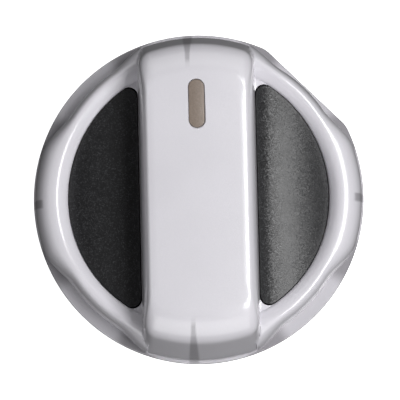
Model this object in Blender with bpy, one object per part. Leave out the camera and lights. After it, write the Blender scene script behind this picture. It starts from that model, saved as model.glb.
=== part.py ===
"""Rotary battery switch with a bar-grip control knob.

Frame: origin at the centre of the rear mounting rim, +Z along the shaft towards the knob,
+Y towards the pointer of the knob at OFF. Sizes are in millimetres until they reach a mesh.
"""

import math

import bmesh
import bpy

MM = 0.001                      # metres in a millimetre
GAP = 0.3                       # air between pieces that touch on the real switch

# Terminals and the contact bridge: these set the width of the case.
STUD_R = 4.0                    # threaded part
STUD_SEAT_W = 1.8               # ring of the shoulder that a cable lug bears on
STUD_SEAT_H = 1.0               # shoulder standing proud of the deck
STUD_PAD_R = 7.0                # contact face inside the chamber
STUD_PROUD = 0.8                # stud end past the nut
LUG_SPACE = 2.6                 # room for a cable lug between the shoulder and the washer
STUD_CHAMFER = 0.8
WASHER_LAND = 4.0               # washer rim outside the stud
WASHER_T = 1.6
LOCK_LAND = 2.9
LOCK_T = 1.9
LOCK_SPLIT = 1.2                # opening of the spring washer
NUT_WALL = 2.5                  # stud surface to nut flat
NUT_H = 6.3
BARRIER_T = 2.0
BARRIER_CLEAR = 3.5             # barrier face to washer rim
BARRIER_TONGUE = 1.2
BARRIER_END = 3.0               # barrier end to case bore
BRIDGE_OVERLAP = 4.5            # bridge past the stud centre
BRIDGE_HALF_W = 6.5
BRIDGE_T = 2.5
BRIDGE_PILOT_R = 3.6
BRIDGE_PILOT_H = 1.2

# Case, columns and deck.
CASE_WALL = 2.4
CASE_FRONT = 3.0
CASE_EDGE = 1.4                 # rounded front edge
CAVITY_DEPTH = 20.5             # cable cavity behind the deck
DECK_T = 4.0
DECK_FIT = 0.5
GASKET_T = 1.0                  # foam ring between the case rim and the panel
PAD_H = 3.0                     # stud pads and park pads above the deck
SLEEVE_R = 3.1
SLEEVE_BORE_R = 2.3
COLUMN_WALL = 0.9
COLUMN_MERGE = 0.5              # columns grow this far into the case wall
ROTOR_CLEAR = 0.8
BOSS_R = 3.0
BOSS_ANGLE = 70.7               # deck screw bosses, degrees from the X axis
BOSS_BORE_DEPTH = 11.0
SCREW_R = 1.4
SCREW_FIT = 0.3
SCREW_LAND = 1.2                # screw head to the edge of the deck
SCREW_LENGTH = 9.0              # shank past the deck
SCREW_HEAD_R = 2.8
SCREW_HEAD_H = 2.0
SCREW_SLOT_W = 0.8
SCREW_SLOT_D = 1.0
NOTCH_HALF_W = 8.5              # cable entry in the case wall
NOTCH_H = 14.0

# Shaft train, from the bridge up.
SPRING_L = 6.0
SPRING_R = 5.0                  # mean radius of the coil
SPRING_WIRE_R = 0.5
SPRING_TURNS = 3.5
FLANGE_R = 6.3
FLANGE_T = 1.0
DRIVE_HALF = 4.0                # half of the square drive
DRIVE_FIT = 0.2
CARRIER_T = 3.0
CHEEK_T = 2.5
CHEEK_HALF_L = 5.0
CHEEK_LIFT = 0.5                # cheek tips above the underside of the bridge
LUG_RADIAL = 2.2
LUG_HALF_DEG = 8.0
LUG_H = 2.6
STOP_R = 1.5
WHEEL_R = 8.0
WHEEL_T = 2.2
WHEEL_NOTCH_R = 1.6
WHEEL_NOTCH_OUT = 0.5           # notch centre outside the wheel's rim
LEAF_T = 0.5
LEAF_HALF_L = 9.8
LEAF_H = 1.6
LEAF_BUMP_R = 1.2
POST_HALF = 1.5
POST_Y = 9.0
THRUST_T = 0.5
THRUST_W = 2.6
THRUST_GAP = 0.25
JOURNAL_R = 4.85
JOURNAL_FIT = 0.25
COLLAR_H = 3.0
COLLAR_WALL = 1.6
SEAL_WIRE_R = 0.95
SEAL_FLOOR = 0.9                # floor of the seal pocket above the case front
SEAL_FIT = 0.25
SEAL_WASHER_T = 0.6
CIRCLIP_T = 0.9
CIRCLIP_W = 2.3
CIRCLIP_OPEN_DEG = 60.0
CIRCLIP_GROOVE = 0.75
TAIL_R = 4.0
TAIL_FLAT = 3.0                 # flat of the D from the axis
TAIL_LENGTH = 12.0
TAIL_FIT = 0.2

# Knob.
KNOB_CLEAR = 1.0                # knob skirt above the case front
KNOB_R = 33.0
KNOB_H = 21.5
SKIRT_H = 2.8
SKIRT_EDGE = 0.35
SKIRT_WALL = 1.8
FLAT_DEPTH = 1.9                # one flat, cut through the skirt
FLAT_DEG = 45.0
FACET_DEPTH = 2.2               # four facets above the skirt
RING_W = 6.4                    # knob edge to inlay
CROWN_R_IN = 1.8                # crown outside the inlay
CROWN_RISE = 2.0                # crown above the inlay, at the sides of the knob
CROWN_RISE_END = 0.8            # crown above the inlay, beside the bar
INLAY_H = 10.0                  # inlay face beside the bar
INLAY_DROP = 3.2                # fall of the face to the ring
INLAY_LIP = 0.2
INLAY_FIT = 0.15
INLAY_CORNER_R = 2.0
RECESS_FLOOR = 4.6
KNOB_WALL = 2.0
BAR_HALF_W = 11.6               # at the foot, by the inlays
BAR_DRAFT = 0.06                # lean of the side walls
BAR_EDGE_R = 1.5
BAR_END_DRAFT = 4.6             # lean of the two ends over the bar's height
BAR_CORNER_R = 3.0
POINTER_HALF_W = 1.6
POINTER_L = 9.6
POINTER_Y = 17.1
POINTER_DEPTH = 1.2
POINTER_FIT = 0.1
HUB_R = 6.8
HUB_FLANGE_R = 7.7
HUB_FLANGE_H = 3.5
HUB_L = 12.0
HUB_LIFT = 1.0                  # hub above the circlip
CLIP_T = 0.6
CLIP_H = 6.0
CLIP_OPEN_DEG = 70.0
SOCKET_FIT = 0.3
POCKET_LENGTH = 10.0            # hollows in the bar on both sides of the socket
POCKET_WALL = 3.0

ROUND = 40                      # segments on large round pieces
SMALL_ROUND = 16
FINE_ROUND = 72                 # the lofted knob body

# Places that follow from the sizes above.
WASHER_R = STUD_R + WASHER_LAND
STUD_X = BARRIER_T / 2 + BARRIER_CLEAR + WASHER_R
BRIDGE_HALF_L = STUD_X + BRIDGE_OVERLAP
SWEEP_R = BRIDGE_HALF_L + DRIVE_FIT
COLUMN_R = SLEEVE_R + GAP + COLUMN_WALL
COLUMN_AT = SWEEP_R + ROTOR_CLEAR + COLUMN_R
CASE_BORE = COLUMN_AT + COLUMN_R - COLUMN_MERGE
CASE_R = CASE_BORE + CASE_WALL
DECK_R = CASE_BORE - DECK_FIT
BOSS_AT = DECK_R - SCREW_HEAD_R - SCREW_LAND
RIM_Z = GASKET_T + GAP

LUG_SEAT = CAVITY_DEPTH - STUD_SEAT_H
WASHER_TOP = LUG_SEAT - LUG_SPACE
LOCK_TOP = WASHER_TOP - WASHER_T - GAP
NUT_TOP = LOCK_TOP - LOCK_T - GAP
STUD_TIP = NUT_TOP - NUT_H - STUD_PROUD
DECK_TOP = CAVITY_DEPTH + DECK_T
PAD_TOP = DECK_TOP + PAD_H
BRIDGE_Z = PAD_TOP + GAP
BRIDGE_TOP = BRIDGE_Z + BRIDGE_T
SPRING_Z = BRIDGE_TOP + GAP
FLANGE_Z = SPRING_Z + SPRING_L + GAP
FLANGE_TOP = FLANGE_Z + FLANGE_T
CARRIER_Z = FLANGE_TOP + GAP
CARRIER_TOP = CARRIER_Z + CARRIER_T
WHEEL_Z = CARRIER_TOP + GAP
WHEEL_TOP = WHEEL_Z + WHEEL_T
THRUST_Z = WHEEL_TOP + THRUST_GAP
FRONT_IN = THRUST_Z + THRUST_T + THRUST_GAP
FRONT_Z = FRONT_IN + CASE_FRONT
COLLAR_TOP = FRONT_Z + COLLAR_H
SEAL_POCKET_R = JOURNAL_R + JOURNAL_FIT + 2 * SEAL_WIRE_R + SEAL_FIT
COLLAR_R = SEAL_POCKET_R + COLLAR_WALL
SEAL_WASHER_Z = COLLAR_TOP + SEAL_FIT
CIRCLIP_Z = SEAL_WASHER_Z + SEAL_WASHER_T + SEAL_FIT
JOURNAL_TOP = CIRCLIP_Z + CIRCLIP_T + GAP
TAIL_TOP = JOURNAL_TOP + TAIL_LENGTH
LEAF_X = WHEEL_R + WHEEL_NOTCH_OUT
LUG_OUT = SWEEP_R - DRIVE_FIT
LUG_IN = LUG_OUT - LUG_RADIAL

KNOB_Z = FRONT_Z + KNOB_CLEAR
KNOB_TOP = KNOB_Z + KNOB_H
INLAY_R = KNOB_R - RING_W
HUB_Z = JOURNAL_TOP + HUB_LIFT - GAP
SOCKET_R = HUB_FLANGE_R + SOCKET_FIT
SOCKET_TOP = HUB_Z + HUB_L + GAP


# Finishes: base colour, roughness, metallic.
FINISHES = {
    "pearl_paint": ((0.66, 0.65, 0.69), 0.16, 0.35),
    "anthracite_paint": ((0.055, 0.057, 0.062), 0.42, 0.3),
    "pointer_paint": ((0.26, 0.21, 0.18), 0.35, 0.0),
    "case_plastic": ((0.035, 0.036, 0.038), 0.5, 0.0),
    "deck_plastic": ((0.16, 0.05, 0.035), 0.55, 0.0),
    "cover_plastic": ((0.05, 0.052, 0.055), 0.45, 0.0),
    "carrier_plastic": ((0.62, 0.60, 0.54), 0.5, 0.0),
    "tinned_copper": ((0.72, 0.70, 0.66), 0.28, 1.0),
    "copper": ((0.80, 0.42, 0.28), 0.3, 1.0),
    "zinc_steel": ((0.62, 0.63, 0.65), 0.3, 1.0),
    "spring_steel": ((0.50, 0.51, 0.53), 0.28, 1.0),
    "brass": ((0.74, 0.55, 0.25), 0.3, 1.0),
    "nylon": ((0.78, 0.77, 0.73), 0.45, 0.0),
    "rubber": ((0.02, 0.02, 0.02), 0.75, 0.0),
}


def clear_scene():
    """Remove whatever the opened file holds."""
    for old in list(bpy.data.objects):
        bpy.data.objects.remove(old, do_unlink=True)


def finish(name):
    """The material of a finish, made once."""
    if name in bpy.data.materials:
        return bpy.data.materials[name]
    colour, roughness, metallic = FINISHES[name]
    material = bpy.data.materials.new(name)
    material.use_nodes = True
    shader = material.node_tree.nodes["Principled BSDF"]
    shader.inputs["Base Color"].default_value = (*colour, 1.0)
    shader.inputs["Roughness"].default_value = roughness
    shader.inputs["Metallic"].default_value = metallic
    return material


def pivot(name):
    """An empty on the shaft axis that a moving group hangs on."""
    empty = bpy.data.objects.new(name, None)
    bpy.context.collection.objects.link(empty)
    return empty


def piece(name, bm, look, parent=None):
    """Close a mesh given in millimetres, scale it to metres and make it an object."""
    bmesh.ops.recalc_face_normals(bm, faces=bm.faces)
    bmesh.ops.scale(bm, vec=(MM, MM, MM), verts=bm.verts)
    mesh = bpy.data.meshes.new(name)
    bm.to_mesh(mesh)
    bm.free()
    mesh.shade_smooth()
    mesh.set_sharp_from_angle(angle=math.radians(32))
    obj = bpy.data.objects.new(name, mesh)
    bpy.context.collection.objects.link(obj)
    obj.parent = parent
    if look:
        mesh.materials.append(finish(look))
    return obj


def combine(target, tool, operation):
    """Join, cut or intersect a piece with a tool that is then only a guide."""
    modifier = target.modifiers.new(tool.name, "BOOLEAN")
    modifier.operation = operation
    modifier.solver = "EXACT"
    modifier.object = tool
    tool.hide_render = True
    tool.display_type = "WIRE"


def loft(rings, closed=False):
    """Skin equal rings of points; cap the two ends, or join the last ring to the first."""
    bm = bmesh.new()
    loops = [[bm.verts.new(point) for point in ring] for ring in rings]
    pairs = list(zip(loops, loops[1:]))
    if closed:
        pairs.append((loops[-1], loops[0]))
    else:
        bm.faces.new(loops[0])
        bm.faces.new(loops[-1])
    for low, high in pairs:
        count = len(low)
        for i in range(count):
            j = (i + 1) % count
            bm.faces.new((low[i], low[j], high[j], high[i]))
    return bm


def circle(radius, z, count, centre=(0.0, 0.0)):
    """Points of a level circle."""
    turns = [math.tau * i / count for i in range(count)]
    return [(centre[0] + radius * math.cos(a), centre[1] + radius * math.sin(a), z) for a in turns]


def turned(profile, count=ROUND, centre=(0.0, 0.0), tube=False):
    """Turn an (r, z) profile about Z: a solid, or a tube when the profile is a closed loop."""
    return loft([circle(r, z, count, centre) for r, z in profile], closed=tube)


def prism(outline, low, high):
    """Extrude an (x, y) outline between two heights."""
    return loft([[(x, y, z) for x, y in outline] for z in (low, high)])


def block(x_range, y_range, z_range):
    """A rectangular solid."""
    (x0, x1), (y0, y1) = x_range, y_range
    return prism([(x0, y0), (x1, y0), (x1, y1), (x0, y1)], *z_range)


def rod(radius, low, high, centre=(0.0, 0.0), count=SMALL_ROUND):
    """A plain cylinder."""
    return turned([(radius, low), (radius, high)], count, centre)


def polar(radius, degrees):
    """The (x, y) of a polar position."""
    return radius * math.cos(math.radians(degrees)), radius * math.sin(math.radians(degrees))


def arc(radius, start, end, steps, centre=(0.0, 0.0)):
    """Points (x, y) of an arc, angles in degrees."""
    spots = [polar(radius, start + (end - start) * i / steps) for i in range(steps + 1)]
    return [(centre[0] + x, centre[1] + y) for x, y in spots]


def open_ring(inner, outer, opening, low, high, centre=(0.0, 0.0), middle=90.0, steps=28):
    """A flat ring with a gap of some degrees, centred on the angle middle."""
    start = middle + opening / 2
    end = middle - opening / 2 + 360
    outline = arc(outer, start, end, steps, centre) + arc(inner, end, start, steps, centre)
    return prism(outline, low, high)


def columns():
    """Centres of the four mounting sleeves, on the diagonals."""
    return [polar(COLUMN_AT, 45 + 90 * i) for i in range(4)]


def bosses():
    """Centres of the four deck screws, two above and two below."""
    return [polar(BOSS_AT, a) for a in (BOSS_ANGLE, 180 - BOSS_ANGLE, 180 + BOSS_ANGLE, -BOSS_ANGLE)]


def make_case():
    """Moulded cup with columns, screw bosses, detent posts, stops, collar and cable entries."""
    edge = [(CASE_R - CASE_EDGE + x, FRONT_Z - CASE_EDGE + z) for x, z in arc(CASE_EDGE, 0, 90, 4)]
    bore = JOURNAL_R + JOURNAL_FIT
    seal_z = FRONT_Z + SEAL_FLOOR
    profile = [(CASE_BORE, RIM_Z), (CASE_R, RIM_Z)] + edge
    profile += [(COLLAR_R, FRONT_Z), (COLLAR_R, COLLAR_TOP), (SEAL_POCKET_R, COLLAR_TOP)]
    profile += [(SEAL_POCKET_R, seal_z), (bore, seal_z), (bore, FRONT_IN), (CASE_BORE, FRONT_IN)]
    case = piece("case", turned(profile, tube=True), "case_plastic")

    sunk = FRONT_IN + CASE_FRONT / 2
    for i, centre in enumerate(columns()):
        combine(case, piece(f"guide_column_{i}", rod(COLUMN_R, DECK_TOP + GAP, sunk, centre), None), "UNION")
    for i, centre in enumerate(bosses()):
        combine(case, piece(f"guide_boss_{i}", rod(BOSS_R, DECK_TOP + GAP, sunk, centre), None), "UNION")
    post_x = LEAF_X + LEAF_T / 2
    for side in (-1, 1):
        for end in (-1, 1):
            x_range = sorted((side * (post_x - POST_HALF), side * (post_x + POST_HALF)))
            y_range = (end * POST_Y - POST_HALF, end * POST_Y + POST_HALF)
            post = block(x_range, y_range, (CARRIER_TOP + GAP, sunk))
            combine(case, piece(f"guide_post_{side}_{end}", post, None), "UNION")
        slit = sorted((side * (LEAF_X - GAP), side * (LEAF_X + LEAF_T + GAP)))
        reach = POST_Y + 2 * POST_HALF
        cut = block(slit, (-reach, reach), (CARRIER_TOP, FRONT_IN - GAP))
        combine(case, piece(f"guide_slit_{side}", cut, None), "DIFFERENCE")
    lug_mid = (LUG_IN + LUG_OUT) / 2
    reach_deg = LUG_HALF_DEG + math.degrees((STOP_R + GAP) / lug_mid)
    for i, angle in enumerate((90 + reach_deg, -reach_deg)):
        stop = rod(STOP_R, CARRIER_TOP + GAP, sunk, polar(lug_mid, angle), 20)
        combine(case, piece(f"guide_stop_{i}", stop, None), "UNION")
    for i, centre in enumerate(columns()):
        hole = rod(SLEEVE_R + GAP, DECK_TOP, FRONT_Z + GAP, centre)
        combine(case, piece(f"guide_sleeve_hole_{i}", hole, None), "DIFFERENCE")
    for i, centre in enumerate(bosses()):
        hole = rod(SCREW_R + SCREW_FIT, DECK_TOP, DECK_TOP + BOSS_BORE_DEPTH, centre, 20)
        combine(case, piece(f"guide_screw_hole_{i}", hole, None), "DIFFERENCE")
    for side in (-1, 1):
        x_range = sorted((side * (CASE_BORE - CASE_WALL), side * (CASE_R + CASE_WALL)))
        notch = block(x_range, (-NOTCH_HALF_W, NOTCH_HALF_W), (0.0, NOTCH_H))
        combine(case, piece(f"guide_notch_{side}", notch, None), "DIFFERENCE")


def make_cable_cover(side, parent):
    """Curved snap-in plate that closes one cable entry."""
    name = "cable_cover_left" if side < 0 else "cable_cover_right"
    top = NOTCH_H - GAP
    shell = turned([(CASE_BORE, RIM_Z), (CASE_R, RIM_Z), (CASE_R, top), (CASE_BORE, top)], tube=True)
    cover = piece(name, shell, "cover_plastic", parent)
    x_range = sorted((side * CASE_BORE / 2, side * (CASE_R + CASE_WALL)))
    half = NOTCH_HALF_W - GAP
    keep = block(x_range, (-half, half), (0.0, NOTCH_H))
    combine(cover, piece(f"guide_cover_{side}", keep, None), "INTERSECT")


def make_rim_gasket():
    """Foam ring that seals the case rim to the panel; the switch stands on it."""
    ring = [(CASE_BORE, 0.0), (CASE_R, 0.0), (CASE_R, GASKET_T), (CASE_BORE, GASKET_T)]
    piece("rim_gasket", turned(ring, tube=True), "rubber")


def make_deck():
    """Moulded terminal deck with park pads for the bridge, and the barrier in its groove."""
    deck = piece("terminal_deck", rod(DECK_R, CAVITY_DEPTH, DECK_TOP, count=ROUND), "deck_plastic")
    for end in (-1, 1):
        pad = rod(STUD_PAD_R, DECK_TOP - DECK_T / 2, PAD_TOP, (0.0, end * STUD_X))
        combine(deck, piece(f"guide_park_{end}", pad, None), "UNION")
    low, high = CAVITY_DEPTH - GAP, DECK_TOP + GAP
    neck = STUD_R + STUD_SEAT_W + GAP
    holes = [(neck, (side * STUD_X, 0.0)) for side in (-1, 1)]
    holes += [(SCREW_R + SCREW_FIT, centre) for centre in bosses()]
    for i, (radius, centre) in enumerate(holes):
        combine(deck, piece(f"guide_deck_hole_{i}", rod(radius, low, high, centre), None), "DIFFERENCE")
    for i in range(4):
        angle = 45 + 90 * i
        outline = arc(SLEEVE_R + GAP, angle + 90, angle + 270, 12, polar(COLUMN_AT, angle))
        outline += [(x + CASE_R * math.cos(math.radians(angle)), y + CASE_R * math.sin(math.radians(angle)))
                    for x, y in (outline[-1], outline[0])]
        combine(deck, piece(f"guide_deck_slot_{i}", prism(outline, low, high), None), "DIFFERENCE")
    half = BARRIER_T / 2 + GAP
    reach = CASE_BORE - BARRIER_END + GAP
    groove = block((-half, half), (-reach, reach), (low, CAVITY_DEPTH + BARRIER_TONGUE + GAP))
    combine(deck, piece("guide_groove", groove, None), "DIFFERENCE")

    end = CASE_BORE - BARRIER_END
    barrier = block((-BARRIER_T / 2, BARRIER_T / 2), (-end, end), (GAP, CAVITY_DEPTH + BARRIER_TONGUE))
    piece("terminal_barrier", barrier, "deck_plastic")


def make_terminal(side):
    """One stud with its flat washer, spring washer and nut."""
    tag = "left" if side < 0 else "right"
    centre = (side * STUD_X, 0.0)
    neck = STUD_R + STUD_SEAT_W
    profile = [(STUD_R - STUD_CHAMFER, STUD_TIP), (STUD_R, STUD_TIP + STUD_CHAMFER)]
    profile += [(STUD_R, LUG_SEAT), (neck, LUG_SEAT)]
    profile += [(neck, DECK_TOP + GAP), (STUD_PAD_R, DECK_TOP + GAP), (STUD_PAD_R, PAD_TOP)]
    piece(f"stud_{tag}", turned(profile, 32, centre), "tinned_copper")

    bore = STUD_R + GAP
    low = WASHER_TOP - WASHER_T
    ring = [(bore, low), (WASHER_R, low), (WASHER_R, WASHER_TOP), (bore, WASHER_TOP)]
    piece(f"flat_washer_{tag}", turned(ring, 32, centre, tube=True), "zinc_steel")

    lock_r = STUD_R + LOCK_LAND
    opening = math.degrees(LOCK_SPLIT / lock_r)
    lock = open_ring(bore, lock_r, opening, LOCK_TOP - LOCK_T, LOCK_TOP, centre)
    piece(f"lock_washer_{tag}", lock, "spring_steel")

    low = NUT_TOP - NUT_H
    corner = (STUD_R + NUT_WALL) / math.cos(math.radians(30))
    nut = piece(f"stud_nut_{tag}", prism(arc(corner, 0, 300, 5, centre), low, NUT_TOP), "zinc_steel")
    hole = rod(bore, low - GAP, NUT_TOP + GAP, centre, 32)
    combine(nut, piece(f"guide_nut_{tag}", hole, None), "DIFFERENCE")


def make_fasteners():
    """Four deck screws and four compression sleeves for the mounting screws."""
    head_top = CAVITY_DEPTH - GAP
    head_z = head_top - SCREW_HEAD_H
    tip = DECK_TOP + SCREW_LENGTH
    profile = [(SCREW_HEAD_R * 0.8, head_z), (SCREW_HEAD_R, head_z + SCREW_HEAD_H / 2)]
    profile += [(SCREW_HEAD_R, head_top), (SCREW_R, head_top), (SCREW_R, tip - SCREW_R), (SCREW_R / 3, tip)]
    for i, (x, y) in enumerate(bosses(), 1):
        screw = piece(f"deck_screw_{i}", turned(profile, 16, (x, y)), "zinc_steel")
        half = SCREW_SLOT_W / 2
        reach = SCREW_HEAD_R * 0.7
        slots = [block((x - reach, x + reach), (y - half, y + half), (head_z - GAP, head_z + SCREW_SLOT_D))]
        slots += [block((x - half, x + half), (y - reach, y + reach), (head_z - GAP, head_z + SCREW_SLOT_D))]
        for j, slot in enumerate(slots):
            combine(screw, piece(f"guide_slot_{i}_{j}", slot, None), "DIFFERENCE")
    low, high = GAP, FRONT_Z - GAP
    sleeve = [(SLEEVE_BORE_R, low), (SLEEVE_R, low), (SLEEVE_R, high), (SLEEVE_BORE_R, high)]
    for i, centre in enumerate(columns(), 1):
        piece(f"mount_sleeve_{i}", turned(sleeve, SMALL_ROUND, centre, tube=True), "brass")


def make_detent_springs():
    """Two leaf springs whose bumps sit in the notches of the detent wheel."""
    low = WHEEL_Z + (WHEEL_T - LEAF_H) / 2
    for side, tag in ((-1, "left"), (1, "right")):
        back = LEAF_X + LEAF_T
        inner = [(LEAF_X, -LEAF_HALF_L)] + arc(LEAF_BUMP_R, 270, 90, 10, (LEAF_X, 0.0))
        inner += [(LEAF_X, LEAF_HALF_L)]
        outer = [(back, LEAF_HALF_L)] + arc(LEAF_BUMP_R - LEAF_T, 90, 270, 10, (back, 0.0))
        outer += [(back, -LEAF_HALF_L)]
        outline = [(side * x, y) for x, y in inner + outer]
        piece(f"detent_spring_{tag}", prism(outline, low, low + LEAF_H), "spring_steel")


def make_shaft_train(parent):
    """Drive shaft, contact carrier, detent wheel, thrust washer and circlip."""
    drive = DRIVE_HALF * math.sqrt(2)
    groove_r = JOURNAL_R - CIRCLIP_GROOVE
    groove_z = CIRCLIP_Z - SEAL_FIT / 2
    core = DRIVE_HALF - DRIVE_FIT
    profile = [(FLANGE_R, FLANGE_Z), (FLANGE_R, FLANGE_TOP), (core, FLANGE_TOP), (core, THRUST_Z)]
    profile += [(JOURNAL_R, THRUST_Z), (JOURNAL_R, groove_z)]
    profile += [(groove_r, groove_z), (groove_r, JOURNAL_TOP - GAP / 2), (JOURNAL_R, JOURNAL_TOP - GAP / 2)]
    profile += [(JOURNAL_R, JOURNAL_TOP), (TAIL_R, JOURNAL_TOP), (TAIL_R, TAIL_TOP - STUD_CHAMFER)]
    profile += [(TAIL_R - STUD_CHAMFER, TAIL_TOP)]
    shaft = piece("drive_shaft", turned(profile, 32), "zinc_steel", parent)
    square = prism(arc(drive, 45, 315, 3), FLANGE_TOP - FLANGE_T / 2, WHEEL_TOP + THRUST_GAP / 2)
    combine(shaft, piece("guide_square", square, None), "UNION")
    flat = block((-2 * TAIL_R, 2 * TAIL_R), (TAIL_FLAT, 2 * TAIL_R), (JOURNAL_TOP, TAIL_TOP + GAP))
    combine(shaft, piece("guide_tail_flat", flat, None), "DIFFERENCE")

    socket = arc(drive + DRIVE_FIT * math.sqrt(2), 45, 315, 3)
    carrier = piece("contact_carrier", rod(SWEEP_R, CARRIER_Z, CARRIER_TOP, count=ROUND),
                    "carrier_plastic", parent)
    inner = BRIDGE_HALF_W + GAP
    for side in (-1, 1):
        x_range = sorted((side * inner, side * (inner + CHEEK_T)))
        cheek = block(x_range, (-CHEEK_HALF_L, CHEEK_HALF_L), (BRIDGE_Z + CHEEK_LIFT, CARRIER_Z + CARRIER_T / 2))
        combine(carrier, piece(f"guide_cheek_{side}", cheek, None), "UNION")
    outline = arc(LUG_OUT, 90 - LUG_HALF_DEG, 90 + LUG_HALF_DEG, 4)
    outline += arc(LUG_IN, 90 + LUG_HALF_DEG, 90 - LUG_HALF_DEG, 4)
    lug = prism(outline, CARRIER_TOP - CARRIER_T / 2, CARRIER_TOP + LUG_H)
    combine(carrier, piece("guide_lug", lug, None), "UNION")
    hole = prism(socket, CARRIER_Z - GAP, CARRIER_TOP + GAP)
    combine(carrier, piece("guide_carrier_hole", hole, None), "DIFFERENCE")

    wheel = piece("detent_wheel", rod(WHEEL_R, WHEEL_Z, WHEEL_TOP, count=ROUND), "nylon", parent)
    for i in range(4):
        notch = rod(WHEEL_NOTCH_R, WHEEL_Z - GAP, WHEEL_TOP + GAP, polar(LEAF_X, 90 * i), 24)
        combine(wheel, piece(f"guide_notch_wheel_{i}", notch, None), "DIFFERENCE")
    hole = prism(socket, WHEEL_Z - GAP, WHEEL_TOP + GAP)
    combine(wheel, piece("guide_wheel_hole", hole, None), "DIFFERENCE")

    inner = JOURNAL_R + JOURNAL_FIT
    outer = inner + THRUST_W
    top = THRUST_Z + THRUST_T
    ring = [(inner, THRUST_Z), (outer, THRUST_Z), (outer, top), (inner, top)]
    piece("thrust_washer", turned(ring, 36, tube=True), "nylon", parent)
    inner = groove_r + DRIVE_FIT
    ring = open_ring(inner, inner + CIRCLIP_W, CIRCLIP_OPEN_DEG, CIRCLIP_Z, CIRCLIP_Z + CIRCLIP_T)
    piece("shaft_circlip", ring, "spring_steel", parent)


def make_shaft_seal():
    """O-ring in the collar and the washer that keeps it there."""
    ring_r = JOURNAL_R + JOURNAL_FIT + SEAL_WIRE_R
    middle = FRONT_Z + SEAL_FLOOR + SEAL_WIRE_R + SEAL_FIT / 2
    section = [(ring_r + x, middle + z) for x, z in arc(SEAL_WIRE_R, 0, 315, 7)]
    piece("shaft_o_ring", turned(section, 36, tube=True), "rubber")
    inner = JOURNAL_R + JOURNAL_FIT
    top = SEAL_WASHER_Z + SEAL_WASHER_T
    outer = COLLAR_R - SEAL_FIT
    ring = [(inner, SEAL_WASHER_Z), (outer, SEAL_WASHER_Z), (outer, top), (inner, top)]
    piece("seal_washer", turned(ring, 36, tube=True), "nylon")


def make_bridge(parent):
    """Copper contact bridge with a pilot for its spring."""
    mid = math.degrees(math.asin(BRIDGE_HALF_W / BRIDGE_HALF_L))
    outline = arc(BRIDGE_HALF_L, 90 - mid, 90 + mid, 10) + arc(BRIDGE_HALF_L, 270 - mid, 270 + mid, 10)
    bridge = piece("contact_bridge", prism(outline, BRIDGE_Z, BRIDGE_TOP), "copper", parent)
    pilot = rod(BRIDGE_PILOT_R, BRIDGE_Z + BRIDGE_T / 2, BRIDGE_TOP + BRIDGE_PILOT_H)
    combine(bridge, piece("guide_pilot", pilot, None), "UNION")


def make_contact_spring(parent):
    """Helical spring that presses the bridge down, swept from six-sided sections."""
    steps = int(SPRING_TURNS * 16)
    rise = SPRING_L - 2 * SPRING_WIRE_R
    rings = []
    for i in range(steps + 1):
        share = i / steps
        angle = math.tau * SPRING_TURNS * share
        z = SPRING_Z + SPRING_WIRE_R + rise * share
        section = arc(SPRING_WIRE_R, 0, 300, 5)
        rings.append([((SPRING_R + u) * math.cos(angle), (SPRING_R + u) * math.sin(angle), z + v)
                      for u, v in section])
    piece("contact_spring", loft(rings), "spring_steel", parent)


def inlay_height(x):
    """Height of the inlay face above the knob's skirt at a distance from the bar's middle line."""
    share = max(0.0, abs(x) - BAR_HALF_W) / (INLAY_R - BAR_HALF_W)
    return INLAY_H - INLAY_DROP * share ** 2


def skirt_radius(degrees):
    """Round skirt with one flat."""
    turn = math.radians(degrees - FLAT_DEG)
    chord = (KNOB_R - FLAT_DEPTH) / max(math.cos(turn), 0.1)
    return min(KNOB_R, chord)


def facet_radius(degrees):
    """Four-lobed outline of the body above the skirt."""
    lobe = FACET_DEPTH / 2 * (1 - math.cos(math.radians(4 * degrees)))
    return min(KNOB_R - lobe, skirt_radius(degrees)) - SKIRT_EDGE


def ring_heights(degrees):
    """Heights of the ring's inner edge and of its crown; both follow the inlay face."""
    side = math.cos(math.radians(degrees))
    lip = inlay_height(INLAY_R * side) + INLAY_LIP
    return lip, lip + CROWN_RISE_END + (CROWN_RISE - CROWN_RISE_END) * side ** 2


def knob_body():
    """Skirt, facets and rolled ring as one lofted solid without the bar."""
    crown = INLAY_R + CROWN_R_IN
    slope_steps = 5
    count = FINE_ROUND
    angles = [360 * i / count for i in range(count)]
    rows = [[] for _ in range(slope_steps + 8)]
    for degrees in angles:
        skirt = skirt_radius(degrees)
        facet = facet_radius(degrees)
        lip, crown_z = ring_heights(degrees)
        outline = [(skirt - SKIRT_EDGE, 0.0), (skirt, SKIRT_EDGE), (skirt, SKIRT_H - SKIRT_EDGE)]
        outline += [(skirt - SKIRT_EDGE / 2, SKIRT_H)]
        for i in range(slope_steps + 1):
            bend = math.pi / 2 * i / slope_steps
            r = crown + (facet - crown) * math.cos(bend) ** 0.9
            outline.append((r, SKIRT_H + (crown_z - SKIRT_H) * math.sin(bend)))
        outline += [(INLAY_R + 0.6 * CROWN_R_IN, crown_z - 0.15 * (crown_z - lip))]
        outline += [(INLAY_R + 0.25 * CROWN_R_IN, crown_z - 0.55 * (crown_z - lip)), (INLAY_R, lip)]
        for row, (r, z) in zip(rows, outline):
            x, y = polar(r, degrees)
            row.append((x, y, KNOB_Z + z))
    return loft([row for row in rows if row])


def bar_outline(half_w, end_r, corner, z):
    """Level outline of the bar: straight sides, ends on a circle, rounded corners."""
    cx = half_w - corner
    cy = math.sqrt((end_r - corner) ** 2 - cx ** 2)
    turn = math.degrees(math.atan2(cy, cx))
    quarter = arc(corner, 0, turn, 5, (cx, cy))
    end = arc(end_r, turn, 180 - turn, 10)[1:-1]
    half = quarter + end + [(-x, y) for x, y in reversed(quarter)]
    return [(x, y, z) for x, y in half] + [(-x, -y, z) for x, y in half]


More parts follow.
